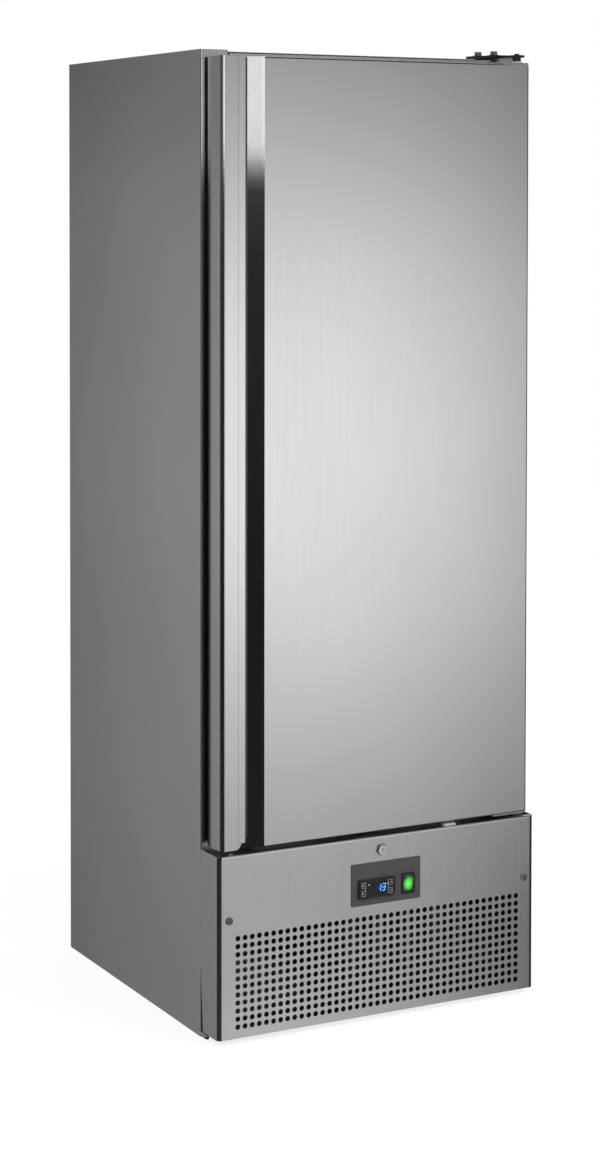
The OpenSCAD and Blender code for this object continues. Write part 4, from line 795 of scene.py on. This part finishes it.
# A soft box at the front right with a dark low corner, grey behind, and a plain ceiling
ROOM_LIGHT = (
    ("add",
     ((-2.4, 0.86), (-1.6, 0.74), (-1.25, 0.51), (-1.0, 0.45), (-0.72, 0.66), (-0.35, 0.87), (0.03, 1.18),
      (0.41, 1.34), (0.8, 1.28), (1.16, 1.23), (1.54, 0.9), (1.75, 0.69), (2.1, 0.46), (3.0, 0.5)),
     ((-180, 0.1), (-172, 0.0), (-110, 0.0), (-85, 0.32), (-45, 0.55), (-8, 0.72), (4, 0.75), (17, 0.78),
      (21, 0.905), (24, 1.0), (26.2, 0.91), (28.4, 0.83), (30.6, 0.76), (32.7, 0.645), (34, 0.5), (38, 0.33),
      (44, 0.22), (52, 0.27), (75, 0.5), (150, 0.5), (172, 0.4), (180, 0.1))),
    ("dim",
     ((-1.6, 1.0), (-1.0, 0.85), (-0.75, 0.0)),
     ((32.6, 0.0), (33.0, 0.25), (33.6, 0.7), (34.1, 0.95), (38, 0.95), (44, 0.5), (52, 0.0))),
    ("add",
     ((-1.6, 0.24), (-1.2, 0.25), (-0.7, 0.285), (-0.15, 0.29), (0.4, 0.325), (0.9, 0.305), (1.54, 0.285),
      (2.03, 0.195), (3.0, 0.26)),
     ((-180, 0.52), (-157, 0.46), (-155, 0.61), (-153, 1.0), (-150, 1.12), (-110, 1.1), (-85, 0.0),
      (172, 0.0), (180, 0.5))),
    ("dim", ((3.0, 0.0), (3.4, 1.0)), ALL_ROUND),
    ("add", ((3.0, 0.0), (3.4, 0.5)), ALL_ROUND),
)
# Nearly black, with a bright head that the door's edge and the handle's slope mirror at the top
SIDE_CARD_LIGHT = (
    ("add",
     ((-0.1, 0.025), (0.33, 0.0165), (0.74, 0.013), (1.14, 0.02), (1.44, 0.028), (1.54, 0.045), (1.6, 0.06)),
     ((-108, 1.7), (-60, 1.5), (-40, 1.0), (-20, 1.0), (-14, 1.4), (-4, 1.4))),
    ("add",
     ((1.555, 0.0), (1.578, 0.07), (1.6, 0.25), (1.62, 0.55), (1.645, 0.78), (1.7, 0.86)),
     ((-38, 0.0), (-35, 1.0), (-21, 1.0), (-15, 1.8), (-4, 2.2))),
)
RIGHT_CARD_LIGHT = (("add", ((-0.4, 0.03), (2.0, 0.03)), ALL_ROUND),)
TOP_CARD_LIGHT = (("add", ((1.7, 0.03), (2.2, 0.035)), ALL_ROUND),)

CARD_R = 0.22
CARD_Z = (-0.4, 2.0)
SIDE_CARD_MIDDLE = (-0.32, -0.345, 0.0)
SIDE_CARD_TURN = (-108, -4)
RIGHT_CARD_MIDDLE = (0.32, -0.345, 0.0)
RIGHT_CARD_TURN = (46, 120)
TOP_CARD_R = 0.35
TOP_CARD_X = (-0.5, 0.5)
TOP_CARD_MIDDLE = (0.0, -0.345, 1.79)
TOP_CARD_TURN = (12, 95)
CARD_STEPS = 40


def stage_object(name, mesh):
    made = bpy.data.objects.new(name, mesh)
    bpy.context.scene.collection.objects.link(made)
    return made


def seen_straight(tree):
    """1 for the rays that show the white background: those of the camera, of gloss and of glass."""
    path = node(tree, "ShaderNodeLightPath").outputs
    seen = path["Is Camera Ray"]
    for way in ("Is Glossy Ray", "Is Transmission Ray"):
        both = node(tree, "ShaderNodeMath", {0: seen, 1: path[way]}, operation="ADD", use_clamp=True)
        seen = both.outputs[0]
    return seen


def make_floor():
    """A pale floor: white to the camera, with the cabinet's soft shadow."""
    shape = bmesh.new()
    bmesh.ops.create_circle(shape, cap_ends=True, radius=FLOOR_R, segments=96)
    mesh = mesh_from("floor", shape)
    material = bpy.data.materials.new("pale_floor")
    material.use_nodes = True
    tree = material.node_tree
    tree.nodes.clear()
    strength = node(tree, "ShaderNodeMath", {0: seen_straight(tree), 1: FLOOR_GLOW}, operation="MULTIPLY")
    glow = node(tree, "ShaderNodeEmission", {"Color": colour("#FFFFFF"), "Strength": strength.outputs[0]})
    matt = node(tree, "ShaderNodeBsdfDiffuse", {"Color": colour("#A8A8A8")})
    both = node(tree, "ShaderNodeAddShader", {0: glow.outputs[0], 1: matt.outputs[0]})
    node(tree, "ShaderNodeOutputMaterial", {"Surface": both.outputs[0]})
    mesh.materials.append(material)
    stage_object("floor", mesh).visible_glossy = False


def stage_light(name, mesh, layers, centre=(0, 0, 0)):
    """A surface that only metal and gloss see.

    A layer is a ramp over the height in metres times a ramp over the turn about a centre, in degrees from the
    front towards the right. It adds light, or dims what is there."""
    material = bpy.data.materials.new(name)
    material.use_nodes = True
    material.cycles.emission_sampling = "NONE"
    tree = material.node_tree
    tree.nodes.clear()
    place = node(tree, "ShaderNodeTexCoord").outputs["Object"]
    around = node(tree, "ShaderNodeVectorMath", {0: place, 1: centre}, operation="SUBTRACT").outputs[0]
    x, y, z = node(tree, "ShaderNodeSeparateXYZ", {0: around}).outputs
    ahead = node(tree, "ShaderNodeMath", {0: y, 1: -1.0}, operation="MULTIPLY").outputs[0]
    angle = node(tree, "ShaderNodeMath", {0: x, 1: ahead}, operation="ARCTAN2").outputs[0]
    turn = node(tree, "ShaderNodeMapRange", {"Value": angle, "From Min": -math.pi, "From Max": math.pi})
    height = node(tree, "ShaderNodeMapRange", {"Value": z, "From Min": RAMP_Z[0], "From Max": RAMP_Z[1]})
    light = 0.0
    for effect, heights, turns in layers:
        ramps = []
        for factor, stops, first, last in ((height, heights, *RAMP_Z), (turn, turns, -180, 180)):
            stops = [((at - first) / (last - first), value) for at, value in stops]
            ramps.append(node(tree, "ShaderNodeValToRGB", {"Fac": factor.outputs[0]}, stops=stops).outputs[0])
        layer = node(tree, "ShaderNodeMath", {0: ramps[0], 1: ramps[1]}, operation="MULTIPLY").outputs[0]
        operation = "ADD"
        if effect == "dim":
            layer = node(tree, "ShaderNodeMath", {0: 1.0, 1: layer}, operation="SUBTRACT").outputs[0]
            operation = "MULTIPLY"
        light = node(tree, "ShaderNodeMath", {0: light, 1: layer}, operation=operation).outputs[0]
    glow = node(tree, "ShaderNodeEmission", {"Color": colour("#FFFFFF"), "Strength": light})
    node(tree, "ShaderNodeOutputMaterial", {"Surface": glow.outputs[0]})
    mesh.materials.append(material)
    made = stage_object(name, mesh)
    made.visible_camera = False
    made.visible_diffuse = False
    made.visible_transmission = False
    made.visible_volume_scatter = False
    made.visible_shadow = False


def upright_rung(middle, angle):
    """The two ends of one rung of a card that stands round an upright line."""
    x = middle[0] + CARD_R * math.sin(angle)
    y = middle[1] - CARD_R * math.cos(angle)
    return [(x, y, z) for z in CARD_Z]


def overhead_rung(middle, angle):
    """The two ends of one rung of a card that bends over the door's top edge."""
    y = middle[1] - TOP_CARD_R * math.cos(angle)
    z = middle[2] + TOP_CARD_R * math.sin(angle)
    return [(x, y, z) for x in TOP_CARD_X]


def curved_card(name, rung_at, middle, turn):
    """A strip bent round an arc."""
    shape = bmesh.new()
    rungs = []
    for angle in spaced(*(math.radians(degrees) for degrees in turn), CARD_STEPS):
        rungs.append([shape.verts.new(point) for point in rung_at(middle, angle)])
    for one, other in zip(rungs, rungs[1:]):
        shape.faces.new((one[0], one[1], other[1], other[0]))
    return mesh_from(name, shape)


def make_room():
    """The room that the metal mirrors, and three dark cards close to the door's edges."""
    shape = bmesh.new()
    bmesh.ops.create_cone(shape, cap_ends=True, radius1=SURROUND_R, radius2=SURROUND_R,
                          depth=SURROUND_Z[1] - SURROUND_Z[0], segments=96)
    bmesh.ops.translate(shape, vec=(0, 0, sum(SURROUND_Z) / 2), verts=shape.verts)
    stage_light("surround", mesh_from("surround", shape), ROOM_LIGHT)
    stage_light("side_card", curved_card("side_card", upright_rung, SIDE_CARD_MIDDLE, SIDE_CARD_TURN),
                SIDE_CARD_LIGHT, SIDE_CARD_MIDDLE)
    stage_light("right_card", curved_card("right_card", upright_rung, RIGHT_CARD_MIDDLE, RIGHT_CARD_TURN),
                RIGHT_CARD_LIGHT)
    stage_light("top_card", curved_card("top_card", overhead_rung, TOP_CARD_MIDDLE, TOP_CARD_TURN),
                TOP_CARD_LIGHT)


def make_world():
    """Even white light, white to the camera and in gloss."""
    world = bpy.data.worlds.new("studio")
    bpy.context.scene.world = world
    world.use_nodes = True
    tree = world.node_tree
    tree.nodes.clear()
    strength = node(tree, "ShaderNodeMapRange", {"Value": seen_straight(tree), "To Min": 0.5, "To Max": 1.0})
    light = node(tree, "ShaderNodeBackground", {"Color": colour("#FFFFFF"), "Strength": strength.outputs[0]})
    node(tree, "ShaderNodeOutputWorld", {"Surface": light.outputs[0]})


def make_lamp(name, place, aim, size, watts):
    """A soft lamp that gives light and shadow, and that no gloss mirrors."""
    data = bpy.data.lights.new(name, "AREA")
    data.shape = "RECTANGLE"
    data.size, data.size_y = size
    data.energy = watts
    lamp = bpy.data.objects.new(name, data)
    bpy.context.scene.collection.objects.link(lamp)
    lamp.location = place
    lamp.rotation_euler = (Vector(place) - Vector(aim)).to_track_quat("Z", "Y").to_euler()
    lamp.visible_glossy = False
    lamp.visible_camera = False


make_floor()
make_room()
make_world()
make_lamp("main_lamp", (2.2, -3.6, 3.4), (0, 0, 0.9), (2.4, 1.8), 70)
make_lamp("side_lamp", (-3.4, -2.0, 2.2), (0, 0, 0.8), (2.0, 2.4), 28)
